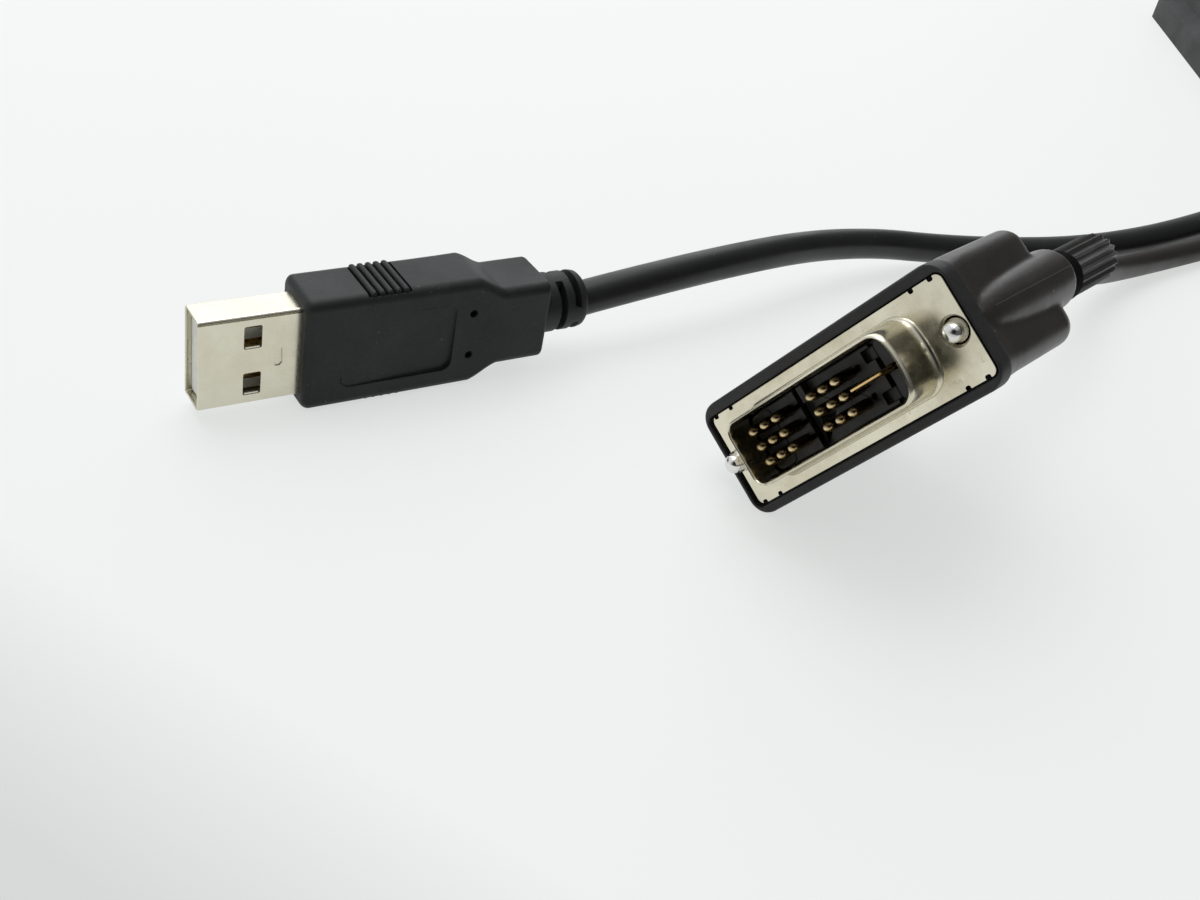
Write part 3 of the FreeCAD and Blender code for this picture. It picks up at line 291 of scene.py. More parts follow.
def rounded_rect(wide, tall, corner, steps=6, u=0.0, v=0.0):
    """Points round a rectangle with round corners, counter-clockwise."""
    corner = max(min(corner, wide / 2 - 1e-4, tall / 2 - 1e-4), 1e-4)
    points = []
    for quarter, (su, sv) in enumerate(((1, -1), (1, 1), (-1, 1), (-1, -1))):
        cu, cv = u + su * (wide / 2 - corner), v + sv * (tall / 2 - corner)
        for i in range(steps + 1):
            a = (quarter - 1 + i / steps) * math.pi / 2
            points.append((cu + corner * math.cos(a), cv + corner * math.sin(a)))
    return points


def arc(radius, start, end, steps, u=0.0, v=0.0):
    """Points along an arc, with both its ends."""
    turns = [start + (end - start) * i / steps for i in range(steps + 1)]
    return [(u + radius * math.cos(a), v + radius * math.sin(a)) for a in turns]


def circle(across, steps=32, u=0.0, v=0.0):
    return arc(across / 2, 0.0, 2 * math.pi, steps, u, v)[:-1]


def along_x(points, x):
    return [Vector((x, u, v)) for u, v in points]


def along_y(points, y):
    return [Vector((u, y, v)) for u, v in points]


def along_z(points, z):
    return [Vector((u, v, z)) for u, v in points]


def loft(rings, bm=None):
    """A closed skin through rings of the same number of points."""
    bm = bm or bmesh.new()
    made = [[bm.verts.new(p) for p in ring] for ring in rings]
    for ring, following in zip(made, made[1:]):
        wall(bm, ring, following)
    bm.faces.new(made[0][::-1])
    bm.faces.new(made[-1])
    return bm


def tube_loft(rings, bm=None):
    """A skin through rings that runs back to the first ring, such as a tube's wall."""
    bm = bm or bmesh.new()
    made = [[bm.verts.new(p) for p in ring] for ring in rings]
    for ring, following in zip(made, made[1:] + made[:1]):
        wall(bm, ring, following)
    return bm


def wall(bm, ring, following):
    """The faces between two rings."""
    count = len(ring)
    for i in range(count):
        j = (i + 1) % count
        bm.faces.new((ring[i], ring[j], following[j], following[i]))


def box(sizes, middle, bm=None, corner=0.0):
    """A box, which may have its upright edges rounded."""
    outline = rounded_rect(sizes[0], sizes[1], corner or 1e-3, 4 if corner else 1, middle[0], middle[1])
    low, high = middle[2] - sizes[2] / 2, middle[2] + sizes[2] / 2
    return loft([along_z(outline, low), along_z(outline, high)], bm)


def post(outline, low, high, bm=None):
    """The outline carried upright from low to high."""
    return loft([along_z(outline, low), along_z(outline, high)], bm)


def bolt(outline, low, high, bm=None):
    """The outline carried along Y from low to high."""
    return loft([along_y(outline[::-1], low), along_y(outline[::-1], high)], bm)


def lathe_x(profile, steps, bm=None, at=(0, 0)):
    """A solid turned about X from (x, radius) points."""
    return loft([along_x(circle(2 * r, steps, *at), x) for x, r in profile], bm)


def lathe_z(profile, steps, bm=None, at=(0, 0)):
    """A solid turned about Z from (z, radius) points."""
    return loft([along_z(circle(2 * r, steps, *at), z) for z, r in profile], bm)


def shown(name, bm, matrix):
    """Makes the mesh an object of the scene."""
    bmesh.ops.recalc_face_normals(bm, faces=bm.faces)
    mesh = bpy.data.meshes.new(name)
    bm.to_mesh(mesh)
    bm.free()
    mesh.transform(matrix)
    thing = bpy.data.objects.new(name, mesh)
    scene.collection.objects.link(thing)
    return thing


def apply_modifiers(thing):
    graph = bpy.context.evaluated_depsgraph_get()
    mesh = bpy.data.meshes.new_from_object(thing.evaluated_get(graph))
    thing.modifiers.clear()
    thing.data = mesh


def carve(thing, bm, matrix):
    """Cuts a mesh out of the piece."""
    cutter = shown("cutter", bm, matrix)
    step = thing.modifiers.new("carve", "BOOLEAN")
    step.operation = "DIFFERENCE"
    step.solver = "EXACT"
    step.use_self = True
    step.object = cutter
    bpy.context.view_layer.update()
    apply_modifiers(thing)
    bpy.data.objects.remove(cutter)


def soften(thing, width, angle=40):
    """Rounds the piece's sharp edges."""
    edge = thing.modifiers.new("edges", "BEVEL")
    edge.width = width * MM
    edge.segments = 2
    edge.limit_method = "ANGLE"
    edge.angle_limit = math.radians(angle)
    edge.use_clamp_overlap = False
    edge.harden_normals = True


def smooth(thing, angle=38):
    """Smooth shading with its weight on the large faces, and creases where the faces turn sharply."""
    thing.data.shade_smooth()
    thing.data.set_sharp_from_angle(angle=math.radians(angle))
    even = thing.modifiers.new("even", "WEIGHTED_NORMAL")
    even.mode = "FACE_AREA"
    even.keep_sharp = True


def dress(thing, material, body=ROOT, replaced=()):
    """Gives a new piece its material, its body and the CAD nodes it stands for."""
    thing.data.materials.clear()
    thing.data.materials.append(material)
    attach(thing, body)
    if replaced:
        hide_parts(*replaced)
    return thing


def paint(node, material):
    """Gives a CAD node that stays in view its material."""
    thing = nodes[node]
    thing.data.materials.clear()
    thing.data.materials.append(material)
    return thing


# ------------------------------------------------------------------------------------ leads
USB_LEAD_ACROSS, DVI_LEAD_ACROSS = 4.7, 4.2
USB_ROUTE = [
    (48.0, -8.5, 8.0),
    (80.0, -9.6, 7.8),
    (107.0, -41.0, 2.5),
    (130.0, -69.0, 2.4),
    (141.0, -94.5, 2.4),
    (154.0, -117.0, 6.5),
    (178.2, -139.6, 10.0),
    (189.95, -156.06, 7.5),
]
DVI_ROUTE = [
    (48.0, 8.5, 8.0),
    (74.0, 8.3, 7.8),
    (101.5, -25.0, 2.2),
    (140.0, -72.0, 2.2),
    (170.0, -85.5, 17.2),
    (186.75, -98.35, 17.5),
]


def lead(name, node, points, across, material):
    """A cord along its route, in place of the lead's CAD node, which it hides."""
    curve = bpy.data.curves.new(name, "CURVE")
    curve.dimensions = "3D"
    curve.bevel_depth = across / 2 * MM
    curve.bevel_resolution = 9
    curve.use_fill_caps = True
    spline = curve.splines.new("NURBS")
    spline.points.add(len(points) - 1)
    for point, place in zip(spline.points, points):
        point.co = (*(Vector(place) * MM), 1.0)
    spline.order_u = 3
    spline.use_endpoint_u = True
    spline.resolution_u = 16
    thing = bpy.data.objects.new(name, curve)
    scene.collection.objects.link(thing)
    curve.materials.append(material)
    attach(thing, ROOT)
    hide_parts(node)


# ------------------------------------------------------------------------------------ USB plug
SHELL_THICK, SHELL_WIDE, SHELL_END, SHELL_TURN, SHEET = 4.5, 12.0, 18.7, 0.46, 0.3
WINDOW_X, WINDOW_LEVELS = 6.45, (-3.2, 3.13)
WINDOW_LONG, WINDOW_TALL = 2.12, 3.0
SEAM_LEVEL, SEAM_GAP = 5.6, 0.15
INSIDE_START = 12.0
GRIP_START, GRIP_END = 12.2, 45.0
GRIP_THICK, GRIP_HALF, GRIP_TURN = 8.1, 7.48, 1.25
TAIL_HALF, TAPER_START, TAPER_LONG = 5.5, 34.5, 3.7
TAIL_FULLER = 0.4  # how far the tail stands out past the grip on the side away from the seam
RECESS_LONG, RECESS_TALL, RECESS_X = 14.7, 9.4, 24.15
GROOVES, GROOVE_X, GROOVE_PITCH, GROOVE_GAP = 6, 20.0, 1.045, 0.32
RIDGE_RADIUS, RIDGE_HALF = 0.39, 3.62
RELIEF_TURN, RELIEF_RAISED, SLOT_GAP = 3.9, 0.4, 1.0


def make_usb_shell():
    """A folded sleeve with a lead-in at its mouth, four windows, a seam and a lanced tab."""
    outer = [(0.0, 0.16), (0.08, 0.05), (0.3, 0.0), (9, 0.0), (SHELL_END, 0.0)]
    inner = [(SHELL_END, SHEET), (9, SHEET), (0.5, SHEET), (0.12, SHEET - 0.06), (0.02, SHEET - 0.16)]
    rings = []
    for x, inset in outer + inner:
        outline = rounded_rect(SHELL_THICK - 2 * inset, SHELL_WIDE - 2 * inset, SHELL_TURN - inset)
        rings.append(along_x(outline, x))
    shell = shown("usb_plug_shell", tube_loft(rings), USB)
    cutters = bmesh.new()
    for z in WINDOW_LEVELS:
        bolt(rounded_rect(WINDOW_LONG, WINDOW_TALL, 0.24, 4, WINDOW_X, z), -4, 4, cutters)
    bolt(rounded_rect(30, SEAM_GAP, 0.02, 1, 14.9, SEAM_LEVEL), -4, -2.02, cutters)
    tab_outside = [(9.86, 1.05), (9.86, -0.75), (9.66, -1.02), (9.32, -1.02), (9.16, -0.84)]
    tab_inside = [(9.1, -1.0), (9.28, -1.24), (9.74, -1.24), (10.06, -0.86), (9.96, 1.05)]
    bolt(tab_outside + tab_inside, -3, -2.1, cutters)
    carve(shell, cutters, USB)
    soften(shell, 0.035, 50)
    smooth(shell, 30)
    dress(shell, NICKEL, replaced=["usb_shell"])
    lips = bmesh.new()
    for side in (-1, 1):
        for z in WINDOW_LEVELS:
            box((1.75, 0.26, 0.34), (WINDOW_X, side * 2.03, z - 1.42), lips, 0.08)
    lips = shown("usb_window_lips", lips, USB)
    soften(lips, 0.06)
    smooth(lips)
    dress(lips, NICKEL)
    return [shell, lips]


def make_usb_inside():
    """The white tongue off the middle of the mouth, with four contacts on it."""
    tongue = bmesh.new()
    loft(
        [
            along_x(rounded_rect(1.9 - 2 * e, 11.0 - 2 * e, 0.3, 4, 1.0, 0.0), x)
            for x, e in ((0.7, 0.18), (0.78, 0.06), (0.95, 0.0), (INSIDE_START, 0.0))
        ],
        tongue,
    )
    loft([along_x(rounded_rect(3.86, 11.36, 0.3, 4), x) for x in (INSIDE_START, SHELL_END)], tongue)
    tongue = shown("usb_tongue", tongue, USB)
    smooth(tongue)
    dress(tongue, WHITE, replaced=["usb_insulator"])
    strips = bmesh.new()
    for level, start in ((-3.5, 1.6), (-1.0, 2.6), (1.0, 2.6), (3.5, 1.6)):
        rings = [
            along_x(rounded_rect(0.2 - 2 * e, 1.0 - 2 * e, 0.05, 2, 0.08, level), x)
            for x, e in ((start, 0.05), (start + 0.2, 0.0), (INSIDE_START, 0.0))
        ]
        loft(rings, strips)
    strips = shown("usb_contact_strips", strips, USB)
    smooth(strips)
    dress(strips, GOLD, replaced=[f"usb_contact_{i}" for i in range(1, 5)])
    return [tongue, strips]


def usb_half_width(x):
    """Half of the overmould's width along the plug, with its two soft turns at the taper."""
    t = share(x, TAPER_START, TAPER_LONG)
    return GRIP_HALF - (GRIP_HALF - TAIL_HALF) * (t - 0.035 * math.sin(2 * math.pi * t))


def make_usb_body():
    """The overmould's plain body: round ends, a slight belly and the taper to the tail."""
    quarter = [(1 - u, 1 - v) for u, v in arc(1.0, 0.0, math.pi / 2, 6)]
    front, back = 0.95, 0.6
    stations = [(GRIP_START + front * e, front * s) for e, s in quarter]
    stations += [(x, 0.0) for x in (14, 17, 20, 24, 28, 32, 33.6)]
    stations += [(34.1 + 0.35 * i, 0.0) for i in range(14)]
    stations += [(40.5, 0.0), (43.0, 0.0)]
    stations += [(GRIP_END - back * e, back * s) for e, s in reversed(quarter)]
    rings = []
    for x, inset in stations:
        belly = 0.06 * math.sin(share(x, GRIP_START, 22.0) * math.pi)
        fuller = TAIL_FULLER * share(x, 30.0, 9.0)
        thick = GRIP_THICK + belly + fuller - 2 * inset
        wide = 2 * (usb_half_width(x) - inset)
        rings.append(along_x(rounded_rect(thick, wide, GRIP_TURN - 0.45 * inset, 8, fuller / 2), x))
    return shown("usb_grip", loft(rings), USB)


def usb_recess(cutters, side):
    """A shallow recess that deepens towards one corner, so that only two of its edges show."""
    outline = rounded_rect(RECESS_LONG, RECESS_TALL, 1.3, 8, RECESS_X, 0.0)[::-1]
    floor = []
    for u, v in outline:
        sunk = 0.15 + 0.03 * (u - RECESS_X) - 0.042 * v
        floor.append(Vector((u, side * (4.08 - sunk), v)))
    loft([floor, along_y(outline, side * 5.0)], cutters)


def usb_ridges():
    """The round ridges between the grooves on the two narrow sides."""
    ridges = bmesh.new()
    profile = arc(RIDGE_RADIUS, 0.0, math.pi, 8)
    ends = ((0.0, 0.2), (0.12, 0.7), (0.42, 1.0))
    along = [(out - RIDGE_HALF, k) for out, k in ends] + [(RIDGE_HALF - out, k) for out, k in reversed(ends)]
    for side, foot in ((-1, 7.08), (1, 7.34)):
        for i in range(GROOVES - 1):
            x = GROOVE_X + GROOVE_PITCH * (i + 0.5)
            rings = []
            for y, k in along:
                rings.append([Vector((x + u * (0.6 + 0.4 * k), y, side * (foot + v * k))) for u, v in profile])
            loft(rings, ridges)
    return shown("usb_grip_ridges", ridges, USB)


def usb_relief_slots(near, sideways):
    """Two slots round the relief with a bridge between their ends."""
    cutters = bmesh.new()
    spread = math.radians(73)
    for start in (0.0, math.pi):
        middle = start + (0.0 if sideways else math.pi / 2)
        ends = (middle - spread, middle + spread)
        outline = arc(4.4, *ends, 14) + arc(2.6, *ends, 14)[::-1]
        loft([along_x(outline, near), along_x(outline, near + SLOT_GAP)], cutters)
    return cutters


def make_usb_grip():
    """The overmould with its recesses, grooves and moulding marks, and the slotted strain relief."""
    grip = make_usb_body()
    cutters = bmesh.new()
    for side in (-1, 1):
        usb_recess(cutters, side)
        low, high = (6.75, 8.4) if side > 0 else (-8.4, -6.75)
        for i in range(GROOVES):
            post(rounded_rect(GROOVE_GAP, 7.2, 0.15, 4, GROOVE_X + GROOVE_PITCH * i), low, high, cutters)
    for z in (-3.0, 3.0):
        bolt(circle(1.0, 24, 33.9, z), -5.0, -3.2, cutters)
    carve(grip, cutters, USB)
    ridges = usb_ridges()
    smooth(ridges, 60)
    dress(ridges, USB_BLACK)
    soften(grip, 0.1)
    smooth(grip, 30)
    dress(grip, USB_BLACK, replaced=["usb_overmould"])
    profile = [
        (44.2, 3.86), (45.3, RELIEF_TURN), (46.8, RELIEF_TURN), (47.1, 3.86), (47.9, 3.84), (49.0, 3.86),
        (50.4, 3.82), (50.95, 3.7), (51.25, 3.42), (51.38, 3.0), (51.4, 2.3),
    ]
    relief = shown("usb_relief", lathe_x(profile, 56, at=(0.0, RELIEF_RAISED)), USB)
    carve(relief, usb_relief_slots(46.95, True), USB)
    carve(relief, usb_relief_slots(49.1, False), USB)
    soften(relief, 0.08)
    smooth(relief, 35)
    dress(relief, USB_BLACK)
    return [grip, ridges, relief]


# ------------------------------------------------------------------------------------ DVI plug
PIN_PITCH, PIN_X = 1.905, -9.82
PIN_ROWS, PIN_COLUMNS = "abc", (1, 2, 3, 6, 7, 8)
PIN_HALF_WIDE, PIN_HALF_TALL = 0.84, 0.66
PIN_PROFILE = [  # height above the face, share of the full width
    (-0.4, 1.0), (3.1, 1.0), (3.5, 0.97), (3.8, 0.92), (4.05, 0.83), (4.25, 0.7), (4.4, 0.52), (4.49, 0.32),
    (4.52, 0.1),
]
SHROUD_WIDE, SHROUD_HALF_TALL, SHROUD_TURN, SHROUD_BOW = 23.45, 3.8, 1.25, 0.62
PLATE_WIDE, PLATE_TALL, PLATE_TURN, PLATE_X, PLATE_Y = 36.5, 11.95, 0.9, 0.33, 0.08
SCREW_OUT, SCREW_HOLE, SCREW_RADIUS = 16.65, 3.0, 1.36
RIM_X, RIM_Y, POCKET_X, POCKET_Y = -0.1, 0.175, 0.02, 0.05
BODY_Y = 0.47
BARREL_OUT, BARREL_Y, BARREL_HOLLOW, HOLLOW_START = 16.66, 0.25, 5.3, -19.8
SKIN = 0.27  # the voxel that the overmould's soft body is skinned with
KNOB_RIBS, KNOB_RADIUS, RIB_DEEP = 18, 2.97, 0.4


def shroud_outline(grow, steps=8):
    """The D: a rectangle with round corners whose right end bows out."""
    half_tall = SHROUD_HALF_TALL + grow
    points = rounded_rect(SHROUD_WIDE + 2 * grow, 2 * half_tall, SHROUD_TURN + grow, steps, -0.08, 0.0)
    out = []
    for (u, v), following in zip(points, points[1:] + points[:1]):
        spans = 10 if math.dist((u, v), following) > 3 else 1
        for s in range(spans):
            t = s / spans
            p, q = u + (following[0] - u) * t, v + (following[1] - v) * t
            if p > 8:
                p += SHROUD_BOW * (1 - (q / half_tall) ** 2) * (p - 8) / 3.6
            out.append((p, q))
    return out


def make_dvi_plate():
    """The flange: a flat plate with two screw holes and notches in its long edges."""
    edge = ((0.06, -0.6), (0.0, -0.54), (0.0, -0.07), (0.02, -0.02), (0.07, 0.0))
    rings = [
        along_z(rounded_rect(PLATE_WIDE - 2 * e, PLATE_TALL - 2 * e, PLATE_TURN - e, 6, PLATE_X, PLATE_Y), z)
        for e, z in edge
    ]
    plate = shown("dvi_face", loft(rings), DVI)
    cutters = bmesh.new()
    for sx in (-1, 1):
        lead_in = 0.6 if sx > 0 else 0.0
        funnel = ((0.0, -2.0), (0.0, -0.5), (lead_in / 4, -0.3), (lead_in, 0.0), (lead_in, 1.0))
        loft([along_z(circle(SCREW_HOLE + w, 40, sx * SCREW_OUT), z) for w, z in funnel], cutters)
        for sy in (-1, 1):
            for x, w in ((17.15, 0.72), (14.5, 0.66)):
                post(rounded_rect(w, 0.95, 0.24, 4, sx * x + 0.1, PLATE_Y + sy * 6.0), -2, 2, cutters)
    post(shroud_outline(0.2), -2, 2, cutters)
    carve(plate, cutters, DVI)
    plate.data.shade_flat()
    return dress(plate, NICKEL_DVI, replaced=["dvi_front_shell"])


def make_dvi_shroud():
    """The drawn collar round the pins, with a wide foot and a rolled lip."""
    profile = [  # how far out from the bore, height
        (1.0, -0.02), (0.95, 0.16), (0.82, 0.27), (0.72, 0.36), (0.6, 0.55), (0.5, 0.9),
        (0.47, 1.3), (0.45, 2.2), (0.44, 4.85), (0.4, 5.3), (0.28, 5.55), (0.18, 5.62),
        (0.08, 5.55), (0.0, 5.3), (0.0, 2.0), (0.0, -0.3), (0.2, -0.4), (0.95, -0.35),
    ]
    shroud = shown("dvi_shroud", tube_loft([along_z(shroud_outline(g), z) for g, z in profile]), DVI)
    smooth(shroud, 50)
    return dress(shroud, NICKEL_SHROUD)


def make_dvi_block():
    """The stepped insulator with its slots between the pins."""
    block = post(shroud_outline(-0.06, 6), -0.5, 0.35)
    raised = [  # sizes, middle, corner
        ((3.2, 7.0, 1.3), (-10.0, 0.0, 0.75), 0.9),
        ((4.6, 7.2, 1.0), (-7.0, 0.0, 0.75), 0.3),
        ((0.8, 7.3, 1.5), (-4.6, 0.0, 0.75), 0.15),
        ((7.6, 7.2, 0.9), (3.6, 0.0, 0.7), 0.3),
        ((3.2, 7.2, 1.5), (9.9, 0.0, 0.75), 0.6),
        ((0.9, 2.0, 1.6), (-3.1, 2.7, 0.75), 0.15),
    ]
    for sizes, middle, corner in raised:
        box(sizes, middle, block, corner)
    block = shown("dvi_insulator_face", block, DVI)
    cutters = bmesh.new()
    pockets = [  # place, width and height
        (7.0, 2.5, 1.7, 1.4), (6.7, -2.45, 1.7, 1.4), (9.6, 0.1, 2.9, 0.75), (4.9, 2.0, 0.7, 0.5),
        (4.9, -1.5, 0.7, 0.5),
    ]
    for x, y, w, h in pockets:
        box((w, h, 3.0), (x, y, 1.9), cutters, 0.12)
    for row in (-PIN_PITCH, 0.0, PIN_PITCH):
        box((1.9, 0.5, 3.0), (-4.9, row - 0.1, 1.9), cutters, 0.1)
        box((1.5, 0.5, 3.0), (4.4, row - 0.1, 1.9), cutters, 0.1)
    carve(block, cutters, DVI)
    soften(block, 0.07)
    smooth(block, 30)
    return dress(block, BLACK_HARD, replaced=["dvi_insulator"])


def make_dvi_pins():
    """The eighteen round-nosed pins."""
    pins = bmesh.new()
    for row in range(len(PIN_ROWS)):
        for column in PIN_COLUMNS:
            x, y = PIN_X + PIN_PITCH * (column - 1), PIN_PITCH * (1 - row)
            rings = [
                [Vector((x + PIN_HALF_WIDE * w * u, y + PIN_HALF_TALL * w * v, z)) for u, v in circle(2.0, 24)]
                for z, w in PIN_PROFILE
            ]
            loft(rings, pins)
    pins = shown("dvi_pins", pins, DVI)
    smooth(pins, 50)
    stood_for = [f"dvi_pin_{row}{column}" for row in PIN_ROWS for column in PIN_COLUMNS]
    return dress(pins, PIN_GOLD, replaced=stood_for)


def make_dvi_blade():
    """The flat ground blade at the right of the pins."""
    edge = ((-0.4, 0.0), (3.9, 0.0), (4.2, 0.08), (4.36, 0.2))
    rings = [along_z(rounded_rect(4.6 - 2 * e, 0.62 - 2 * e, 0.28 - e, 5, 7.0, 0.1), z) for z, e in edge]
    blade = shown("dvi_blade", loft(rings), DVI)
    smooth(blade, 50)
    return dress(blade, GOLD, replaced=["dvi_ground_blade"])


def make_dvi_rim():
    """The overmould's crisp rim round the face, with the pocket that the plate lies in."""
    outside = [  # wide, tall, corner, height
        (37.4, 14.0, 2.1, -2.8), (37.9, 14.45, 2.3, -2.7), (38.3, 14.78, 2.45, -2.4), (38.4, 14.85, 2.5, -2.1),
        (38.4, 14.85, 2.5, -0.4), (38.24, 14.7, 2.4, -0.12), (37.9, 14.35, 2.25, 0.0),
    ]
    pocket = [
        (37.75, 12.7, 1.2, 0.02), (37.5, 12.4, 1.0, -0.06), (37.42, 12.3, 0.95, -0.25),
        (37.42, 12.3, 0.95, -1.2), (34.0, 10.0, 0.75, -1.2),
    ]
    rings = [along_z(rounded_rect(w, h, r, 8, RIM_X, RIM_Y), z) for w, h, r, z in outside]
    rings += [along_z(rounded_rect(w, h, r, 8, POCKET_X, POCKET_Y), z) for w, h, r, z in pocket]
    rim = shown("dvi_grip_rim", loft(rings), DVI)
    cutters = bmesh.new()
    for sx in (-1, 1):
        post(circle(SCREW_HOLE, 32, sx * SCREW_OUT), -4.0, 3.0, cutters)
    carve(rim, cutters, DVI)
    smooth(rim, 32)
    return dress(rim, RIM_BLACK, replaced=["dvi_overmould"])


def make_dvi_body():
    """The overmould's soft body: corner lobes, the core with its tail, and two swelling screw barrels."""
    lobes = [  # wide, tall, corner, middle, height
        (38.0, 14.6, 2.4, -0.1, 0.2, -2.2), (37.7, 14.55, 2.35, -0.05, 0.3, -3.2),
        (37.5, 14.5, 2.3, 0.0, 0.43, -4.4), (37.45, 14.4, 2.2, 0.0, BODY_Y, -6.0),
        (37.45, 14.4, 2.2, 0.0, BODY_Y, -17.2), (37.0, 13.95, 2.1, 0.0, BODY_Y, -18.2),
        (36.1, 13.05, 1.9, 0.0, BODY_Y, -18.85), (34.9, 11.85, 1.6, 0.0, BODY_Y, -19.2),
        (33.4, 10.4, 1.3, 0.0, BODY_Y, -19.35),
    ]
    body = loft([along_z(rounded_rect(w, h, r, 8, u, v), z) for w, h, r, u, v, z in lobes])
    core = ((25.4, 13.4, -10.0), (25.4, 13.4, -25.6), (24.0, 12.6, -27.2), (20.0, 10.6, -28.0))
    loft([along_z(rounded_rect(w, h, 2.6, 8), z) for w, h, z in core], body)
    lathe_z([(-27, 5.6), (-29.5, 4.4), (-44.0, 3.9)], 40, body)
    swell = [
        (-2.2, 2.35), (-3.5, 2.66), (-5.0, 2.92), (-8.0, 3.2), (-12.0, 3.42), (-16.0, 3.56),
        (-19.0, 3.62), (-21.5, 3.6), (-21.85, 3.45), (-22.0, 3.2),
    ]
    for sx in (-1, 1):
        lathe_z(swell, 48, body, (sx * BARREL_OUT, BARREL_Y))
    body = shown("dvi_grip_body", body, DVI)
    skin = body.modifiers.new("skin", "REMESH")
    skin.mode = "VOXEL"
    skin.voxel_size = SKIN * MM
    apply_modifiers(body)
    soft = body.modifiers.new("soft", "SMOOTH")
    soft.factor = 0.5
    soft.iterations = 5
    apply_modifiers(body)
    cutters = bmesh.new()
    for sx in (-1, 1):
        post(circle(BARREL_HOLLOW, 32, sx * SCREW_OUT, 0.1), -30.0, HOLLOW_START, cutters)
        post(circle(SCREW_HOLE, 32, sx * SCREW_OUT), -22.0, 3.0, cutters)
    carve(body, cutters, DVI)
    body.data.shade_smooth()
    body.data.set_sharp_from_angle(angle=math.radians(60))
    return dress(body, DVI_BLACK)


def make_dvi_seams():
    """The mould's fine parting line along the outside of each barrel."""
    seams = bmesh.new()
    ridge = ((-4.5, 2.82), (-8.0, 3.17), (-12.0, 3.4), (-16.0, 3.54), (-19.0, 3.6), (-21.4, 3.6))
    for sx in (-1, 1):
        rings = [
            along_z(rounded_rect(0.1, 0.09, 0.03, 2, sx * (BARREL_OUT + reach), BARREL_Y), z) for z, reach in ridge
        ]
        loft(rings, seams)
    seams = shown("dvi_parting_lines", seams, DVI)
    smooth(seams, 60)
    return dress(seams, DVI_BLACK)


def make_knob(side, x, front):
    """The knob: a plain neck, then sharp ribs to a chamfered end."""
    stations = [  # height from its front, inset, share of the ribs' depth
        (-0.5, 0.75, 0.0), (-0.6, 0.7, 0.0), (-0.8, 0.32, 0.15), (-0.95, 0.14, 0.8), (-1.15, 0.02, 1.0),
        (-10.7, 0.0, 1.0), (-11.45, 0.3, 0.8), (-11.9, 0.8, 0.2), (-12.0, 1.3, 0.0),
    ]
    steps = KNOB_RIBS * 8
    rings = []
    for z, inset, ribbed in stations:
        ring = []
        for i in range(steps):
            a = 2 * math.pi * i / steps
            wave = (0.5 + 0.5 * math.cos(KNOB_RIBS * a)) ** 1.4
            r = KNOB_RADIUS - inset - RIB_DEEP * (1 - wave) * ribbed
            ring.append(Vector((x + r * math.cos(a), r * math.sin(a), front + z)))
        rings.append(ring)
    knob = shown(f"dvi_thumb_knob_{side}", loft(rings), DVI)
    smooth(knob, 55)
    return dress(knob, KNOB_BLACK, f"thumbscrew_{side}", [f"dvi_knob_{side}"])


def make_gap_shade_ring(side, x, front):
    """A near-black ring put in the gap between the barrel and the knob: painted shade."""
    start = min(front + 1.2, -22.15)
    profile = [(start, 2.6), (start - 0.06, 3.0), (front - 0.95, 3.0), (front - 1.0, 2.0)]
    collar = shown(f"dvi_thumb_gap_shade_{side}", lathe_z(profile, 40, at=(x, 0.0)), DVI)
    smooth(collar, 50)
    return dress(collar, GAP_SHADE_BLACK, f"thumbscrew_{side}")


def make_screw(side, x, front, end):
    """The jackscrew: a plain shank, eight turns of thread and a domed tip."""
    r = SCREW_RADIUS
    profile = [(front - 2.0, r), (end - 5.6, r)]
    for i in range(8):
        z = end - 5.3 + i * 0.42
        profile += [(z, r), (z + 0.12, r - 0.16), (z + 0.24, r)]
    dome = (  # height from the tip, inset
        (-1.75, 0.05), (-1.6, 0.2), (-1.0, 0.22), (-0.72, 0.28), (-0.48, 0.4), (-0.28, 0.58), (-0.13, 0.8),
        (-0.03, 1.08), (0.0, 1.33),
    )
    profile += [(end + z, r - inset) for z, inset in dome]
    screw = shown(f"dvi_screw_{side}", lathe_z(profile, 40, at=(x, 0.0)), DVI)
    smooth(screw, 45)
    return dress(screw, STEEL, f"thumbscrew_{side}", [f"dvi_jackscrew_{side}"])


def make_thumbscrew(side, sx, tip):
    """A knob, its dark gap and its jackscrew, which stands where the photograph shows its tip."""
    x, front, end = sx * SCREW_OUT, tip - 24.0, tip + 0.95
    return [make_knob(side, x, front), make_gap_shade_ring(side, x, front), make_screw(side, x, front, end)]


usb_pieces = make_usb_shell() + make_usb_inside() + make_usb_grip()
usb_pieces += [paint("usb_inner_mould", GREY), paint("usb_boot", LEAD_BLACK)]
dvi_pieces = [make_dvi_plate(), make_dvi_shroud(), make_dvi_block(), make_dvi_pins(), make_dvi_blade()]
dvi_pieces += [make_dvi_rim(), make_dvi_body(), make_dvi_seams()]
dvi_pieces += make_thumbscrew("left", -1, 2.0) + make_thumbscrew("right", 1, 0.5)
dvi_pieces += [paint("dvi_inner_mould", GREY), paint("dvi_rear_shell", NICKEL_DVI), paint("dvi_boot", LEAD_BLACK)]

lead("usb_cord", "usb_lead", USB_ROUTE, USB_LEAD_ACROSS, LEAD_BLACK)
lead("dvi_cord", "dvi_lead", DVI_ROUTE, DVI_LEAD_ACROSS, LEAD_BROWN)

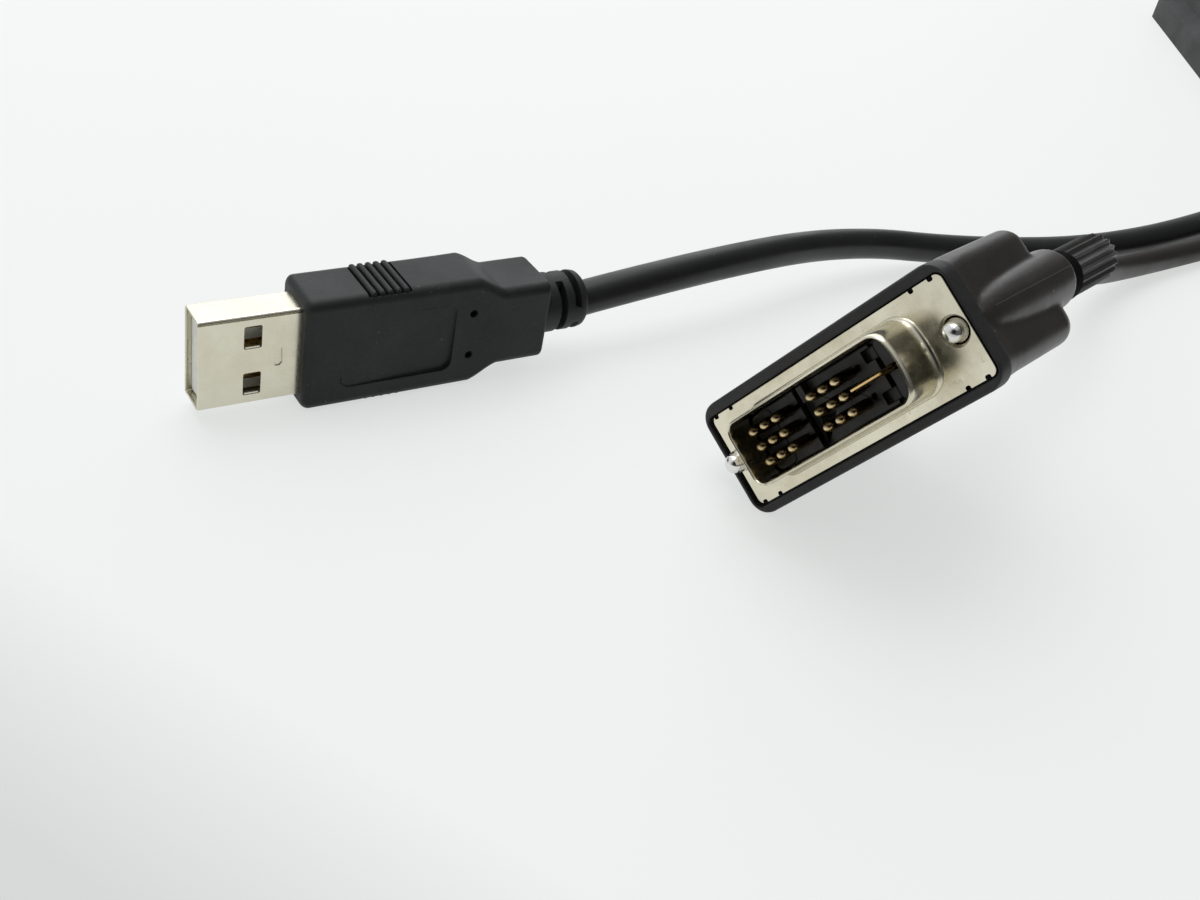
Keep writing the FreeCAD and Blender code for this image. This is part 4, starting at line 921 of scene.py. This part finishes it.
MODULE_LOOKS = {
    "housing_base": CASE_BLACK,
    "housing_lid": CASE_BLACK,
    "housing_screws": STEEL,
    "circuit_board": BOARD,
    "control_chip": BLACK_HARD,
    "video_chip": BLACK_HARD,
    "usb_header": CREAM,
    "video_header": CREAM,
    "jack_body": BLACK_HARD,
    "jack_shield": NICKEL,
    "status_light_pipe": CLEAR,
}
MODULE_LOOKS.update({f"jack_contact_{i}": GOLD for i in range(1, 9)})
for module_node, look in MODULE_LOOKS.items():
    paint(module_node, look)


# ------------------------------------------------------------------------------------ stage and light
TABLE_WIDE, TABLE_THICK = 6000, 6.0
# The camera sees a pale table that its shadows darken only softly: part of its level is glow, and part is
# the light that falls on it. Other light meets its plain colour.
TABLE_GLOW, TABLE_LIT = 0.64, 0.30
FAR_SIDE, UPWARDS, VIEWER = (-0.5, -0.82, 0.27), (0.0, 0.0, 1.0), (0.84, -0.2, 0.51)
BETWEEN_PLUGS = (0.15, -0.1, 0.0)


def make_table():
    """A white table that renders near white to the camera, keeps the shadows on it and has a painted shade towards
    its near corner.
    """
    floor = shown("table", post(rounded_rect(TABLE_WIDE, TABLE_WIDE, 10, 2), -TABLE_THICK, 0.0), MODULE)
    m = Nodes("table_white")
    m.set(Roughness=0.5, Specular_IOR_Level=0.1, Emission_Color=(0.98, 1.0, 0.985, 1.0))
    colour = m.mix(m.band(m.noise(9, 4, 0.6), 0.35, 0.7), (0.80, 0.815, 0.815), (0.775, 0.795, 0.80))
    colour = m.specks(colour, 160.0, 0.035, 60, (0.6, 0.66), 0.25, (0.45, 0.46, 0.47))
    path = m.tree.nodes.new("ShaderNodeLightPath")
    seen = m.math("MAXIMUM", path.outputs["Is Camera Ray"], path.outputs["Is Glossy Ray"])
    lit = m.mix(seen, (1.0, 1.0, 1.0), (TABLE_LIT, TABLE_LIT, TABLE_LIT))
    # Painted shade: the glow falls to 70 per cent over a band towards the table's near corner.
    aside = m.math("MULTIPLY", m.geometry("Position", "Y"), 0.5)
    near_corner = m.math("SUBTRACT", m.geometry("Position", "X"), aside)
    glow_with_painted_corner_shade = m.band(near_corner, 0.350, 0.378, TABLE_GLOW, 0.7 * TABLE_GLOW)
    m.drive(
        Base_Color=m.mix(1.0, colour, lit, "MULTIPLY"),
        Emission_Strength=m.math("MULTIPLY", seen, glow_with_painted_corner_shade),
        Normal=m.bump(m.noise(700, 3, 0.5), 0.00001, 0.2),
    )
    floor.data.materials.append(m.material)


def make_room():
    """A room that is bright beyond the plugs, dim towards the module's side and dark round the viewer."""
    world = bpy.data.worlds.new("room")
    scene.world = world
    world.use_nodes = True
    tree = world.node_tree
    background = tree.nodes["Background"]
    background.inputs["Color"].default_value = (0.96, 0.98, 1.0, 1.0)
    place = tree.nodes.new("ShaderNodeTexCoord").outputs["Generated"]

    def toward(direction, low, high, to_low, to_high):
        dot = tree.nodes.new("ShaderNodeVectorMath")
        dot.operation = "DOT_PRODUCT"
        dot.inputs[1].default_value = Vector(direction).normalized()
        tree.links.new(place, dot.inputs[0])
        band = tree.nodes.new("ShaderNodeMapRange")
        band.interpolation_type = "SMOOTHSTEP"
        for name, value in (("From Min", low), ("From Max", high), ("To Min", to_low), ("To Max", to_high)):
            band.inputs[name].default_value = value
        tree.links.new(dot.outputs["Value"], band.inputs["Value"])
        return band.outputs[0]

    def joined(kind, a, b):
        node = tree.nodes.new("ShaderNodeMath")
        node.operation = kind
        tree.links.new(a, node.inputs[0])
        tree.links.new(b, node.inputs[1])
        return node.outputs[0]

    far_side = toward(FAR_SIDE, -0.1, 0.8, 0.11, 0.82)
    ceiling = toward(UPWARDS, 0.6, 0.95, 0.0, 0.45)
    viewer = toward(VIEWER, 0.86, 0.975, 1.0, 0.1)
    total = joined("MULTIPLY", joined("ADD", far_side, ceiling), viewer)
    tree.links.new(total, background.inputs["Strength"])


def lamp(name, place, size, watts, colour):
    """A soft lamp that is aimed between the two plugs."""
    light = bpy.data.lights.new(name, "AREA")
    light.shape = "RECTANGLE"
    light.size, light.size_y = size
    light.energy = watts
    light.color = colour
    thing = bpy.data.objects.new(name, light)
    thing.location = place
    thing.rotation_euler = (Vector(BETWEEN_PLUGS) - Vector(place)).to_track_quat("-Z", "Y").to_euler()
    scene.collection.objects.link(thing)


make_table()
make_room()
lamp("ceiling", (-0.1, -0.35, 1.3), (1.0, 0.8), 7.2, (1.0, 0.985, 0.96))
lamp("window", (-0.88, -0.35, 0.72), (1.4, 1.15), 4.4, (0.96, 0.98, 1.0))
